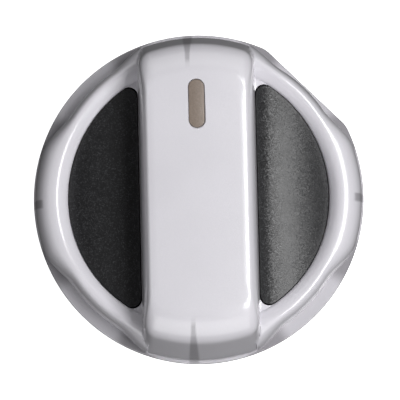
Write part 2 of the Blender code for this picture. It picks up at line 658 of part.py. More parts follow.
def knob_bar():
    """The raised grip bar, from the skirt's top to the crown of the bar."""
    foot = SKIRT_H - SKIRT_EDGE
    shoulder = KNOB_H - BAR_EDGE_R
    sections = [(foot + (shoulder - foot) * i / 6, 0.0) for i in range(7)]
    sections += [(shoulder + BAR_EDGE_R * math.sin(math.radians(a)),
                  BAR_EDGE_R * (1 - math.cos(math.radians(a)))) for a in (22.5, 45, 67.5, 90)]
    rings = []
    for z, inset in sections:
        share = (z - foot) / (KNOB_H - foot)
        half_w = BAR_HALF_W - BAR_DRAFT * (z - INLAY_H) - inset
        end_r = KNOB_R - SKIRT_EDGE / 2 - BAR_END_DRAFT * share - inset
        rings.append(bar_outline(half_w, end_r, BAR_CORNER_R, KNOB_Z + z))
    return loft(rings)


def inlay_outline(side, trim):
    """D outline of an inlay: a chord beside the bar, an arc along the ring, rounded corners."""
    radius = INLAY_R - trim
    corner = INLAY_CORNER_R
    chord = BAR_HALF_W + trim
    cx = chord + corner
    cy = math.sqrt((radius - corner) ** 2 - cx ** 2)
    turn = math.degrees(math.atan2(cy, cx))
    upper = arc(corner, turn, 180, 6, (cx, cy))
    lower = [(x, -y) for x, y in reversed(upper)]
    sweep = arc(radius, -turn, turn, 30)[1:-1]
    return [(side * x, y) for x, y in lower + sweep + upper]


def make_inlay(side, parent):
    """One dark grip inlay with a face that falls towards the ring."""
    name = "grip_inlay_left" if side < 0 else "grip_inlay_right"
    low = KNOB_Z + RECESS_FLOOR + GAP
    inlay = piece(name, prism(inlay_outline(side, INLAY_FIT), low, KNOB_Z + KNOB_H), "anthracite_paint", parent)
    count = 16
    start, end = BAR_HALF_W - 1, INLAY_R + 1
    xs = [start + (end - start) * i / count for i in range(count + 1)]
    section = [(side * x, KNOB_Z + inlay_height(x)) for x in xs]
    section += [(side * end, low - 1), (side * start, low - 1)]
    rings = [[(x, y, z) for x, z in section] for y in (-KNOB_R, KNOB_R)]
    combine(inlay, piece(f"guide_inlay_{side}", loft(rings), None), "INTERSECT")


def stadium(trim):
    """Outline of the pointer slot."""
    radius = POINTER_HALF_W - trim
    reach = POINTER_L / 2 - POINTER_HALF_W
    top = arc(radius, 0, 180, 10, (0.0, POINTER_Y + reach))
    return top + arc(radius, 180, 360, 10, (0.0, POINTER_Y - reach))


def make_knob(parent):
    """Knob shell with its recesses, inlays, pointer, hub and clip."""
    shell = piece("knob_shell", knob_body(), "pearl_paint", parent)
    combine(shell, piece("guide_bar", knob_bar(), None), "UNION")
    floor = KNOB_Z + RECESS_FLOOR
    for side in (-1, 1):
        recess = prism(inlay_outline(side, 0.0), floor, KNOB_TOP)
        combine(shell, piece(f"guide_recess_{side}", recess, None), "DIFFERENCE")
        make_inlay(side, parent)
    slot_z = KNOB_TOP - POINTER_DEPTH
    combine(shell, piece("guide_pointer", prism(stadium(0.0), slot_z, KNOB_TOP + GAP), None), "DIFFERENCE")
    piece("pointer_inlay", prism(stadium(POINTER_FIT), slot_z + POINTER_FIT, KNOB_TOP), "pointer_paint", parent)

    hollow_r = KNOB_R - FLAT_DEPTH - SKIRT_WALL
    hollow_top = floor - KNOB_WALL
    combine(shell, piece("guide_hollow", rod(hollow_r, KNOB_Z - GAP, hollow_top, count=ROUND), None),
            "DIFFERENCE")
    mouth = rod(COLLAR_R + GAP, hollow_top - GAP, CIRCLIP_Z + GAP, count=36)
    combine(shell, piece("guide_mouth", mouth, None), "DIFFERENCE")
    socket = rod(SOCKET_R, hollow_top - GAP, SOCKET_TOP, count=36)
    combine(shell, piece("guide_socket", socket, None), "DIFFERENCE")
    half = BAR_HALF_W - POCKET_WALL - BAR_DRAFT * (KNOB_H - INLAY_H)
    near = SOCKET_R + KNOB_WALL
    for end in (-1, 1):
        y_range = sorted((end * near, end * (near + POCKET_LENGTH)))
        pocket = block((-half, half), y_range, (hollow_top - GAP, KNOB_TOP - POCKET_WALL))
        combine(shell, piece(f"guide_pocket_{end}", pocket, None), "DIFFERENCE")

    top = HUB_Z + HUB_L
    step = top - HUB_FLANGE_H
    hub = piece("knob_hub", turned([(HUB_R, HUB_Z), (HUB_R, step), (HUB_FLANGE_R, step), (HUB_FLANGE_R, top)], 36),
                "nylon", parent)
    flat = math.degrees(math.acos((TAIL_FLAT + TAIL_FIT) / (TAIL_R + TAIL_FIT)))
    bore = prism(arc(TAIL_R + TAIL_FIT, 90 + flat, 450 - flat, 24), HUB_Z - GAP, top + GAP)
    combine(hub, piece("guide_hub_bore", bore, None), "DIFFERENCE")
    inner = HUB_R + GAP
    clip_top = step - GAP
    clip = open_ring(inner, inner + CLIP_T, CLIP_OPEN_DEG, clip_top - CLIP_H, clip_top, middle=270.0)
    piece("knob_clip", clip, "spring_steel", parent)


def main():
    """Build the whole switch at rest, at OFF."""
    clear_scene()
    make_case()
    make_rim_gasket()
    make_deck()
    for side in (-1, 1):
        make_terminal(side)
        tag = "left" if side < 0 else "right"
        make_cable_cover(side, pivot(f"cover_{tag}_slide"))
    make_fasteners()
    make_detent_springs()
    make_shaft_seal()
    rotor = pivot("rotor_axis")
    make_shaft_train(rotor)
    make_contact_spring(rotor)
    bridge = pivot("bridge_slide")
    bridge.parent = rotor
    make_bridge(bridge)
    knob = pivot("knob_slide")
    knob.parent = rotor
    make_knob(knob)


main()
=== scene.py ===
"""Looks of a rotary battery switch with a bar-grip knob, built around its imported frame.

Every new mesh is worked out in millimetres from the frame's origin and scaled to metres when it is
settled. +Z runs along the shaft towards the knob, and +Y towards the knob's pointer at OFF.
"""

import sys
import logging
import math
from dataclasses import dataclass, field
from enum import Enum
from typing import Callable, Iterable, Sequence

import bmesh
import bpy
from mathutils import Matrix, Quaternion, Vector


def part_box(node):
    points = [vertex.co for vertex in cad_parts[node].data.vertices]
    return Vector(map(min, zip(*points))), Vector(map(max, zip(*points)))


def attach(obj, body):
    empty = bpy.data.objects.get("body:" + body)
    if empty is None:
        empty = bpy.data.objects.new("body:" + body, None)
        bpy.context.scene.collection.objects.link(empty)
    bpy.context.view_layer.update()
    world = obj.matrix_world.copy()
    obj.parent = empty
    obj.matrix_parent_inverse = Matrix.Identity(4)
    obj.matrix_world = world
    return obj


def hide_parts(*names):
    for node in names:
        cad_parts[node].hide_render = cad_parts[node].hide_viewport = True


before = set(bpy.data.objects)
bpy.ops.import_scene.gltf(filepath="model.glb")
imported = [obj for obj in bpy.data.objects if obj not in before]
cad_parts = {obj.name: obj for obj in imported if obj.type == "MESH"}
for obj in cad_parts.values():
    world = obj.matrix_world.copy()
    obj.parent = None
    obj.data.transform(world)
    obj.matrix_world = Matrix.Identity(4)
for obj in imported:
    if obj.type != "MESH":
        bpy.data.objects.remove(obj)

LOG = logging.getLogger("battery_switch")
MM = 0.001                             # metres in a millimetre
GAP = 0.3                              # millimetres left between neighbouring pieces

Point = tuple[float, float, float]
Flat = tuple[float, float]
Colour = tuple[float, float, float]
Rgba = tuple[float, float, float, float]
Socket = bpy.types.NodeSocket


class Cut(Enum):
    """What a tool does to a body."""

    JOIN = "UNION"
    REMOVE = "DIFFERENCE"
    KEEP = "INTERSECT"


# ------------------------------------------------------------------ plane geometry


def polar(radius: float, degrees: float) -> Flat:
    """The (x, y) of a polar position."""
    return radius * math.cos(math.radians(degrees)), radius * math.sin(math.radians(degrees))


def arc(radius: float, start: float, end: float, steps: int, centre: Flat = (0.0, 0.0)) -> list[Flat]:
    """Points of an arc, ends included; angles are in degrees."""
    spots = [polar(radius, start + (end - start) * i / steps) for i in range(steps + 1)]
    return [(centre[0] + x, centre[1] + y) for x, y in spots]


def ring_points(radius: float, steps: int, centre: Flat = (0.0, 0.0), start: float = 0.0) -> list[Flat]:
    """Points of a full circle, the first one given once."""
    return arc(radius, start, start + 360.0, steps, centre)[:-1]


def box_points(low: Flat, high: Flat) -> list[Flat]:
    """The four corners of an upright rectangle, anticlockwise."""
    return [low, (high[0], low[1]), high, (low[0], high[1])]


def fillet(points: Sequence[Flat], radius: float, closed: bool = True, steps: int = 4) -> list[Flat]:
    """Round the corners of a polyline.

    Args:
        points: the corners in order.
        radius: the most that a corner may be rounded; a short side takes less.
        closed: whether the last corner joins the first.
        steps: segments in a rounded corner.

    Returns:
        The points of the rounded line.
    """
    count = len(points)
    out: list[Flat] = []
    for i, here in enumerate(points):
        if not closed and i in (0, count - 1):
            out.append(here)
            continue
        corner = Vector(here)
        before = Vector(points[i - 1]) - corner
        after = Vector(points[(i + 1) % count]) - corner
        reach = min(radius, 0.45 * before.length, 0.45 * after.length)
        straight = abs(before.normalized().cross(after.normalized())) < 0.05
        if reach < 1e-4 or straight:
            out.append(here)
            continue
        first = corner + before.normalized() * reach
        last = corner + after.normalized() * reach
        for k in range(steps + 1):
            t = k / steps
            spot = first * (1 - t) ** 2 + corner * (2 * t * (1 - t)) + last * t ** 2
            out.append((spot.x, spot.y))
    return out


def smooth_step(low: float, high: float, value: float) -> float:
    """0 at low, 1 at high, and smooth between them."""
    share = min(1.0, max(0.0, (value - low) / (high - low)))
    return share * share * (3 - 2 * share)


def smooth_min(a: float, b: float, blend: float) -> float:
    """The smaller of two values, with a rounded change from one to the other."""
    near = max(blend - abs(a - b), 0.0) / blend
    return min(a, b) - near * near * blend / 4


# ------------------------------------------------------------------ mesh work


def loop_edges(bm: bmesh.types.BMesh, loop: Sequence[bmesh.types.BMVert]) -> list[bmesh.types.BMEdge]:
    """The edges that join a closed loop of vertices."""
    pairs = zip(loop, list(loop[1:]) + [loop[0]])
    return [edge for a, b in pairs if (edge := bm.edges.get((a, b)))]


def skin(count: int, rows: int, place: Callable[[int, int], Point]) -> bmesh.types.BMesh:
    """Extrude a loop row by row, and put each new row in its place.

    Args:
        count: points round the loop.
        rows: number of rows.
        place: the place in millimetres of a row's point, from (row, point).

    Returns:
        The skin, with both its ends capped.
    """
    bm = bmesh.new()
    first = list(bmesh.ops.create_circle(bm, segments=count, radius=1.0)["verts"])
    loop = first
    for row in range(rows):
        if row:
            made = bmesh.ops.extrude_edge_only(bm, edges=loop_edges(bm, loop))["geom"]
            new = {v for v in made if isinstance(v, bmesh.types.BMVert)}
            loop = [next(e.other_vert(v) for e in v.link_edges if e.other_vert(v) in new) for v in loop]
        for i, vert in enumerate(loop):
            vert.co = place(row, i)
    for end in (first, loop):
        bmesh.ops.contextual_create(bm, geom=loop_edges(bm, end))
    return bm


def prism(outline: Sequence[Flat], low: float, high: float) -> bmesh.types.BMesh:
    """Extrude a level outline between two heights."""
    return skin(len(outline), 2, lambda row, i: (*outline[i], (low, high)[row]))


def tapered(outlines: Sequence[Sequence[Flat]], heights: Sequence[float]) -> bmesh.types.BMesh:
    """Skin level outlines of equal length, one at each height."""
    return skin(len(outlines[0]), len(heights), lambda row, i: (*outlines[row][i], heights[row]))


def turned(profile: Sequence[Flat], steps: int = 96, centre: Flat = (0.0, 0.0)) -> bmesh.types.BMesh:
    """Spin a closed (radius, height) outline round an upright axis.

    Args:
        profile: the outline; points on the axis close a solid piece.
        steps: segments of the full turn.
        centre: where the axis stands.

    Returns:
        The turned piece.
    """
    bm = bmesh.new()
    verts = [bm.verts.new((centre[0] + r, centre[1], z)) for r, z in profile]
    pairs = list(zip(verts, verts[1:] + verts[:1]))
    edges = [bm.edges.new(pair) for pair in pairs]
    on_axis = [e for e, (a, b) in zip(edges, pairs)
               if all(abs(v.co.x - centre[0]) < 1e-6 for v in (a, b))]
    bmesh.ops.delete(bm, geom=on_axis, context="EDGES")
    bmesh.ops.spin(bm, geom=list(bm.verts) + list(bm.edges), cent=(*centre, 0.0), axis=(0.0, 0.0, 1.0),
                   angle=math.tau, steps=steps, use_merge=True)
    bmesh.ops.remove_doubles(bm, verts=list(bm.verts), dist=1e-4)
    return bm


def solid(points: Sequence[Flat], edge: float = 0.0, steps: int = 96, centre: Flat = (0.0, 0.0),
          rounding: int = 3) -> bmesh.types.BMesh:
    """Turn a solid piece from its outer (radius, height) points, listed from one end to the other.

    Args:
        points: the outer points, which the axis closes.
        edge: rounding of its corners.
        steps: segments of the full turn.
        centre: where the axis stands.
        rounding: segments in a rounded corner.

    Returns:
        The turned solid.
    """
    line = [(0.0, points[0][1]), *points, (0.0, points[-1][1])]
    return turned(fillet(line, edge, False, rounding) if edge else line, steps, centre)


def gather(parts: Iterable[bmesh.types.BMesh]) -> bmesh.types.BMesh:
    """Put several meshes into one.

    Args:
        parts: the meshes, which are freed.

    Returns:
        The new mesh.
    """
    out = bmesh.new()
    for part in parts:
        mesh = bpy.data.meshes.new("part")
        part.to_mesh(mesh)
        part.free()
        out.from_mesh(mesh)
        bpy.data.meshes.remove(mesh)
    return out


def work(body: bmesh.types.BMesh, tool: bmesh.types.BMesh, cut: Cut,
         crossing: bool = False) -> bmesh.types.BMesh:
    """Join, cut or trim a body with a tool.

    Args:
        body: the mesh that stays; it is freed.
        tool: the mesh that works on it; it is freed.
        cut: what the tool does.
        crossing: whether the tool's own pieces cross each other.

    Returns:
        The new mesh.
    """
    objects = []
    for bm in (body, tool):
        bmesh.ops.recalc_face_normals(bm, faces=list(bm.faces))
        mesh = bpy.data.meshes.new("work")
        bm.to_mesh(mesh)
        bm.free()
        obj = bpy.data.objects.new("work", mesh)
        bpy.context.scene.collection.objects.link(obj)
        objects.append(obj)
    modifier = objects[0].modifiers.new("work", "BOOLEAN")
    modifier.operation = cut.value
    modifier.solver = "EXACT"
    modifier.use_self = crossing
    modifier.object = objects[1]
    bpy.context.view_layer.update()
    shaped = objects[0].evaluated_get(bpy.context.evaluated_depsgraph_get())
    out = bmesh.new()
    out.from_mesh(shaped.to_mesh())
    shaped.to_mesh_clear()
    for obj in objects:
        mesh = obj.data
        bpy.data.objects.remove(obj)
        bpy.data.meshes.remove(mesh)
    return out


def sharp_edges(bm: bmesh.types.BMesh, degrees: float = 35.0) -> list[bmesh.types.BMEdge]:
    """Edges where two faces meet at more than an angle."""
    limit = math.radians(degrees)
    return [e for e in bm.edges if len(e.link_faces) == 2 and e.calc_face_angle(0.0) > limit]


def ease(bm: bmesh.types.BMesh, width: float, degrees: float = 35.0, segments: int = 2,
         keep: Callable[[bmesh.types.BMEdge], bool] = lambda edge: True) -> bmesh.types.BMesh:
    """Bevel the sharp edges of a mesh.

    Args:
        bm: the mesh, which is changed.
        width: width of the bevel.
        degrees: angle past which an edge is sharp.
        segments: segments across the bevel.
        keep: a test that an edge has to pass as well.

    Returns:
        The same mesh.
    """
    bmesh.ops.recalc_face_normals(bm, faces=list(bm.faces))
    edges = [e for e in sharp_edges(bm, degrees) if keep(e)]
    bmesh.ops.bevel(bm, geom=edges, offset=width, offset_type="OFFSET", segments=segments, profile=0.5,
                    affect="EDGES", clamp_overlap=True, material=-1)
    return bm


def span(node: str) -> tuple[Vector, Vector]:
    """Lowest and highest corner of a frame node, in millimetres."""
    low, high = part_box(node)
    return low / MM, high / MM


def settle(name: str, bm: bmesh.types.BMesh, finish: "Finish", body: str, nodes: Sequence[str] = (),
           smooth: float = 32.0) -> bpy.types.Object:
    """Close a mesh, bring it to metres, and give it its material, its body and its place in the frame.

    Args:
        name: the piece's name.
        bm: its mesh in millimetres, which is freed.
        finish: its finish, which also names its material slot.
        body: the frame body that it moves with.
        nodes: the frame nodes that it stands for.
        smooth: angle in degrees past which an edge stays sharp.

    Returns:
        The finished object.
    """
    bmesh.ops.remove_doubles(bm, verts=list(bm.verts), dist=2e-4)
    bmesh.ops.dissolve_degenerate(bm, edges=list(bm.edges), dist=1e-5)
    bmesh.ops.recalc_face_normals(bm, faces=list(bm.faces))
    bmesh.ops.scale(bm, vec=(MM, MM, MM), verts=list(bm.verts))
    mesh = bpy.data.meshes.new(name)
    bm.to_mesh(mesh)
    bm.free()
    mesh.shade_smooth()
    mesh.set_sharp_from_angle(angle=math.radians(smooth))
    mesh.materials.append(finish.material())
    obj = bpy.data.objects.new(name, mesh)
    bpy.context.scene.collection.objects.link(obj)
    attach(obj, body)
    if nodes:
        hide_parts(*nodes)
    LOG.info("%s: %d faces, on %s", name, len(mesh.polygons), body)
    return obj


# ------------------------------------------------------------------ shader work


@dataclass
class Graph:
    """Short hand for filling a node tree."""

    tree: bpy.types.NodeTree

    def add(self, kind: str, inputs: dict | None = None, **settings: object) -> bpy.types.Node:
        """Add a node.

        Args:
            kind: the node's type without its Shader prefix.
            inputs: values or sockets for its inputs, by name or number.
            settings: the node's own properties.

        Returns:
            The new node.
        """
        node = self.tree.nodes.new(kind if kind.startswith("Node") else f"ShaderNode{kind}")
        for key, value in settings.items():
            setattr(node, key, value)
        for key, value in (inputs or {}).items():
            if isinstance(value, Socket):
                self.tree.links.new(value, node.inputs[key])
            else:
                node.inputs[key].default_value = value
        return node

    def math(self, operation: str, *values: float | Socket) -> Socket:
        """The result of a Math node."""
        return self.add("Math", dict(enumerate(values)), operation=operation).outputs[0]

    def noise(self, vector: Socket, scale: float | Socket, detail: float = 2.0,
              rough: float = 0.5) -> Socket:
        """A noise value on a vector."""
        inputs = {"Vector": vector, "Scale": scale, "Detail": detail, "Roughness": rough}
        return self.add("TexNoise", inputs).outputs["Fac"]

    def spread(self, value: Socket, low: float, high: float, out_low: float | Socket = 0.0,
               out_high: float | Socket = 1.0) -> Socket:
        """Map a value's range to another, clamped."""
        inputs = {0: value, 1: low, 2: high, 3: out_low, 4: out_high}
        return self.add("MapRange", inputs).outputs[0]

    def mix(self, share: float | Socket, first: Rgba | Socket, second: Rgba | Socket) -> Socket:
        """Mix two colours."""
        return self.add("Mix", {0: share, 6: first, 7: second}, data_type="RGBA").outputs[2]


def group(name: str, inputs: dict[str, tuple[str, float]], outputs: dict[str, str],
          fill: Callable[[Graph, bpy.types.Node], dict[str, Socket]]) -> bpy.types.NodeTree:
    """Make a shader group once.

    Args:
        name: the group's name.
        inputs: socket type and default for each input.
        outputs: socket type for each output.
        fill: builds the inside from the graph and its input node, and returns the output sockets.

    Returns:
        The group.
    """
    if name in bpy.data.node_groups:
        return bpy.data.node_groups[name]
    tree = bpy.data.node_groups.new(name, "ShaderNodeTree")
    for label, (kind, default) in inputs.items():
        socket = tree.interface.new_socket(label, in_out="INPUT", socket_type=f"NodeSocket{kind}")
        if kind == "Float":
            socket.default_value = default
    for label, kind in outputs.items():
        tree.interface.new_socket(label, in_out="OUTPUT", socket_type=f"NodeSocket{kind}")
    graph = Graph(tree)
    results = fill(graph, graph.add("NodeGroupInput"))
    end = graph.add("NodeGroupOutput")
    for label, socket in results.items():
        tree.links.new(socket, end.inputs[label])
    return tree


def grain_group() -> bpy.types.NodeTree:
    """Fine pits and a slow unevenness, for moulded, cast and plated surfaces.

    Returns:
        The group.
    """

    def fill(g: Graph, given: bpy.types.Node) -> dict[str, Socket]:
        """Lay out the inside of the group.

        Args:
            g: the group's graph.
            given: its input node.

        Returns:
            Its output sockets by name.
        """
        vector, size = given.outputs["Vector"], given.outputs["Size"]
        scale = g.math("DIVIDE", 1.0, size)
        fine = g.noise(vector, scale, 3.0, 0.6)
        slow = g.noise(vector, g.math("MULTIPLY", scale, 0.045), 2.0)
        height = g.math("ADD", fine, g.math("MULTIPLY", slow, 0.6))
        return {"Height": height, "Fine": g.spread(fine, 0.3, 0.7), "Slow": g.spread(slow, 0.35, 0.65)}

    return group("surface_grain", {"Vector": ("Vector", 0), "Size": ("Float", 0.0004)},
                 {"Height": "Float", "Fine": "Float", "Slow": "Float"}, fill)


def flake_group() -> bpy.types.NodeTree:
    """Metal flakes in a paint: each cell has its own brightness and tilt.

    Returns:
        The group.
    """

    def fill(g: Graph, given: bpy.types.Node) -> dict[str, Socket]:
        """Lay out the inside of the group.

        Args:
            g: the group's graph.
            given: its input node.

        Returns:
            Its output sockets by name.
        """
        scale = g.math("DIVIDE", 1.0, given.outputs["Size"])
        cells = g.add("TexVoronoi", {"Vector": given.outputs["Vector"], "Scale": scale})
        hue = g.add("SeparateColor", {0: cells.outputs["Color"]})
        bright = g.math("POWER", hue.outputs[0], 5.0)
        tilt = g.add("VectorMath", {0: cells.outputs["Color"], 1: (0.5, 0.5, 0.5)}, operation="SUBTRACT")
        lean = g.add("VectorMath", {0: tilt.outputs[0], "Scale": given.outputs["Tilt"]}, operation="SCALE")
        here = g.add("NewGeometry")
        summed = g.add("VectorMath", {0: here.outputs["Normal"], 1: lean.outputs[0]}, operation="ADD")
        unit = g.add("VectorMath", {0: summed.outputs[0]}, operation="NORMALIZE")
        return {"Spark": bright, "Depth": hue.outputs[1], "Normal": unit.outputs[0]}

    inputs = {"Vector": ("Vector", 0), "Size": ("Float", 0.0001), "Tilt": ("Float", 0.2)}
    return group("paint_flakes", inputs, {"Spark": "Float", "Depth": "Float", "Normal": "Vector"}, fill)


def wear_group() -> bpy.types.NodeTree:
    """Worn edges, from a rounded normal that the material supplies, broken up by noise.

    Returns:
        The group.
    """

    def fill(g: Graph, given: bpy.types.Node) -> dict[str, Socket]:
        """Lay out the inside of the group.

        Args:
            g: the group's graph.
            given: its input node.

        Returns:
            Its output sockets by name.
        """
        here = g.add("NewGeometry")
        facing = g.add("VectorMath", {0: here.outputs["Normal"], 1: given.outputs["Round Normal"]},
                       operation="DOT_PRODUCT")
        edge = g.spread(facing.outputs["Value"], 0.995, 0.86)
        patches = g.spread(g.noise(given.outputs["Vector"], 900.0, 4.0, 0.65), 0.42, 0.62)
        return {"Mask": g.math("MULTIPLY", edge, g.math("MULTIPLY", patches, given.outputs["Amount"]))}

    inputs = {"Vector": ("Vector", 0), "Round Normal": ("Vector", 0), "Amount": ("Float", 0.5)}
    return group("edge_wear", inputs, {"Mask": "Float"}, fill)


def turning_group() -> bpy.types.NodeTree:
    """Fine tool marks round the Z axis of a turned piece.

    Returns:
        The group.
    """

    def fill(g: Graph, given: bpy.types.Node) -> dict[str, Socket]:
        """Lay out the inside of the group.

        Args:
            g: the group's graph.
            given: its input node.

        Returns:
            Its output sockets by name.
        """
        parts = g.add("SeparateXYZ", {0: given.outputs["Vector"]})
        flat = g.add("CombineXYZ", {0: parts.outputs[0], 1: parts.outputs[1]})
        radius = g.add("VectorMath", {0: flat.outputs[0]}, operation="LENGTH").outputs["Value"]
        lined = g.add("CombineXYZ", {0: radius, 2: parts.outputs[2]})
        fine = g.noise(lined.outputs[0], g.math("DIVIDE", 1.0, given.outputs["Pitch"]), 2.0, 0.6)
        return {"Height": fine, "Lines": g.spread(fine, 0.35, 0.65)}

    return group("turning_marks", {"Vector": ("Vector", 0), "Pitch": ("Float", 0.0001)},
                 {"Height": "Float", "Lines": "Float"}, fill)


def soil_group() -> bpy.types.NodeTree:
    """Light dust and finger marks: slow patches with a fine break-up.

    Returns:
        The group.
    """

    def fill(g: Graph, given: bpy.types.Node) -> dict[str, Socket]:
        """Lay out the inside of the group.

        Args:
            g: the group's graph.
            given: its input node.

        Returns:
            Its output sockets by name.
        """
        wide = g.spread(g.noise(given.outputs["Vector"], 95.0, 3.0, 0.55), 0.48, 0.72)
        fine = g.spread(g.noise(given.outputs["Vector"], 2600.0, 2.0, 0.6), 0.35, 0.75)
        return {"Mask": g.math("MULTIPLY", g.math("MULTIPLY", wide, fine), given.outputs["Amount"])}

    return group("light_soil", {"Vector": ("Vector", 0), "Amount": ("Float", 0.3)}, {"Mask": "Float"}, fill)


def rgba(colour: Colour, gain: float = 1.0) -> Rgba:
    """A colour with full alpha, made lighter or darker."""
    return (*(min(1.0, c * gain) for c in colour), 1.0)


@dataclass(frozen=True)
class Finish:
    """What every finish has: its material slot, colour, roughness and metal share."""

    slot: str
    colour: Colour
    rough: float
    metal: float = 0.0

    def material(self) -> bpy.types.Material:
        """Make the finish's material, once.

        Returns:
            The material.
        """
        name = f"{self.slot}_look"
        if name in bpy.data.materials:
            return bpy.data.materials[name]
        made = bpy.data.materials.new(name)
        made.use_nodes = True
        made.diffuse_color = rgba(self.colour)
        made.node_tree.nodes.clear()
        graph = Graph(made.node_tree)
        shader = graph.add("BsdfPrincipled", {"Roughness": self.rough, "Metallic": self.metal,
                                              "Base Color": rgba(self.colour)})
        out = graph.add("OutputMaterial")
        made.node_tree.links.new(shader.outputs[0], out.inputs["Surface"])
        self.dress(graph, shader, graph.add("TexCoord").outputs["Object"])
        return made

    def dress(self, g: Graph, shader: bpy.types.Node, vector: Socket) -> None:
        """Add what the surface shows; each kind of finish has its own.

        Args:
            g: the material's graph.
            shader: its Principled shader.
            vector: the piece's own coordinates.
        """
        raise NotImplementedError

    @staticmethod
    def feed(g: Graph, shader: bpy.types.Node, **sockets: Socket) -> None:
        """Link sockets to the shader's inputs; an underscore in a name stands for a space."""
        for name, socket in sockets.items():
            g.tree.links.new(socket, shader.inputs[name.replace("_", " ")])

    @staticmethod
    def place(g: Graph, tree: bpy.types.NodeTree, **inputs: float | Socket) -> bpy.types.Node:
        """Place a group with its own values.

        Args:
            g: the material's graph.
            tree: the group.
            inputs: values or sockets for its inputs; an underscore in a name stands for a space.

        Returns:
            The group's node.
        """
        node = g.add("Group", node_tree=tree)
        for name, value in inputs.items():
            socket = node.inputs[name.replace("_", " ")]
            if isinstance(value, Socket):
                g.tree.links.new(value, socket)
            else:
                socket.default_value = value
        return node

    @staticmethod
    def bump(g: Graph, height: Socket, strength: float, depth: float) -> Socket:
        """A normal from a height, with its depth in metres."""
        return g.add("Bump", {"Height": height, "Strength": strength, "Distance": depth}).outputs[0]

    def worn(self, g: Graph, vector: Socket, radius: float, amount: float) -> Socket:
        """Find the worn edges of a piece.

        Args:
            g: the material's graph.
            vector: the piece's own coordinates.
            radius: how far from an edge the wear reaches, in metres.
            amount: strength of the wear.

        Returns:
            The wear mask.
        """
        rounded = g.add("Bevel", {"Radius": radius}, samples=4)
        wear = self.place(g, wear_group(), Vector=vector, Round_Normal=rounded.outputs[0], Amount=amount)
        return wear.outputs["Mask"]


@dataclass(frozen=True)
class PearlPaint(Finish):
    """Pearl silver paint under a clear coat; dark reflections and crease shade are painted into its colour.
    """

    coat_rough: float = 0.17
    flake_size: float = 0.00009
    flake_tilt: float = 0.10
    sparkle: float = 0.05
    spark_tone: Colour = (0.95, 0.94, 0.98)
    shade: float = 0.05
    shade_gain: float = 0.6
    tone_shift: float = 0.025
    # painted shade: colour of the dark reflections and crease shade painted onto the shell
    painted_shade_tone: Colour = (0.26, 0.25, 0.27)
    soil: float = 0.25
    soil_rough: float = 0.15

    def dress(self, g: Graph, shader: bpy.types.Node, vector: Socket) -> None:
        """Flakes, slow shifts of tone, painted dark reflections and shade, and light marks in the coat.

        Args:
            g: the material's graph.
            shader: its Principled shader.
            vector: the piece's own coordinates.
        """
        flakes = self.place(g, flake_group(), Vector=vector, Size=self.flake_size, Tilt=self.flake_tilt)
        slow = g.spread(g.noise(vector, 60.0, 2.0), 0.3, 0.7)
        base = g.mix(slow, rgba(self.colour, 1 - self.tone_shift), rgba(self.colour, 1 + self.tone_shift))
        sparkle = g.math("MULTIPLY", flakes.outputs["Spark"], self.sparkle)
        base = g.mix(sparkle, base, rgba(self.spark_tone))
        shade = g.math("MULTIPLY", flakes.outputs["Depth"], self.shade)
        base = g.mix(shade, base, rgba(self.colour, self.shade_gain))
        # painted shade: the shell's per-vertex attribute darkens the colour where reflections and crease
        # shade fall
        painted_shade = g.add("Attribute", attribute_name="painted_shade").outputs["Fac"]
        base = g.mix(painted_shade, base, rgba(self.painted_shade_tone))
        soil = self.place(g, soil_group(), Vector=vector, Amount=self.soil).outputs["Mask"]
        rough = g.math("ADD", g.math("MULTIPLY", soil, self.soil_rough), self.rough)
        shader.inputs["Coat Weight"].default_value = 1.0
        shader.inputs["Coat Roughness"].default_value = self.coat_rough
        shader.inputs["Coat IOR"].default_value = 1.5
        self.feed(g, shader, Base_Color=base, Roughness=rough, Normal=flakes.outputs["Normal"])


@dataclass(frozen=True)
class SatinPaint(Finish):
    """Satin paint with fine metal flakes."""

    flake_size: float = 0.00016
    flake_tilt: float = 0.16
    sparkle: float = 0.5
    spark_tone: Colour = (0.35, 0.36, 0.38)
    shade: float = 0.35
    shade_gain: float = 0.55
    grain: float = 0.00016
    depth: float = 0.00001
    soil: float = 0.03

    def dress(self, g: Graph, shader: bpy.types.Node, vector: Socket) -> None:
        """Flakes with their own tilt, and an uneven satin.

        Args:
            g: the material's graph.
            shader: its Principled shader.
            vector: the piece's own coordinates.
        """
        flakes = self.place(g, flake_group(), Vector=vector, Size=self.flake_size, Tilt=self.flake_tilt)
        base = g.mix(g.math("MULTIPLY", flakes.outputs["Spark"], self.sparkle), rgba(self.colour),
                     rgba(self.spark_tone))
        shade = g.math("MULTIPLY", flakes.outputs["Depth"], self.shade)
        base = g.mix(shade, base, rgba(self.colour, self.shade_gain))
        grain = self.place(g, grain_group(), Vector=vector, Size=self.grain)
        soil = self.place(g, soil_group(), Vector=vector, Amount=self.soil).outputs["Mask"]
        rough = g.math("ADD", self.rough, g.math("MULTIPLY", grain.outputs["Slow"], 0.03))
        rough = g.math("ADD", rough, g.math("MULTIPLY", soil, 0.1))
        bumped = g.add("Bump", {"Height": grain.outputs["Height"], "Strength": 0.15,
                                "Distance": self.depth, "Normal": flakes.outputs["Normal"]})
        self.feed(g, shader, Base_Color=base, Roughness=rough, Normal=bumped.outputs[0])


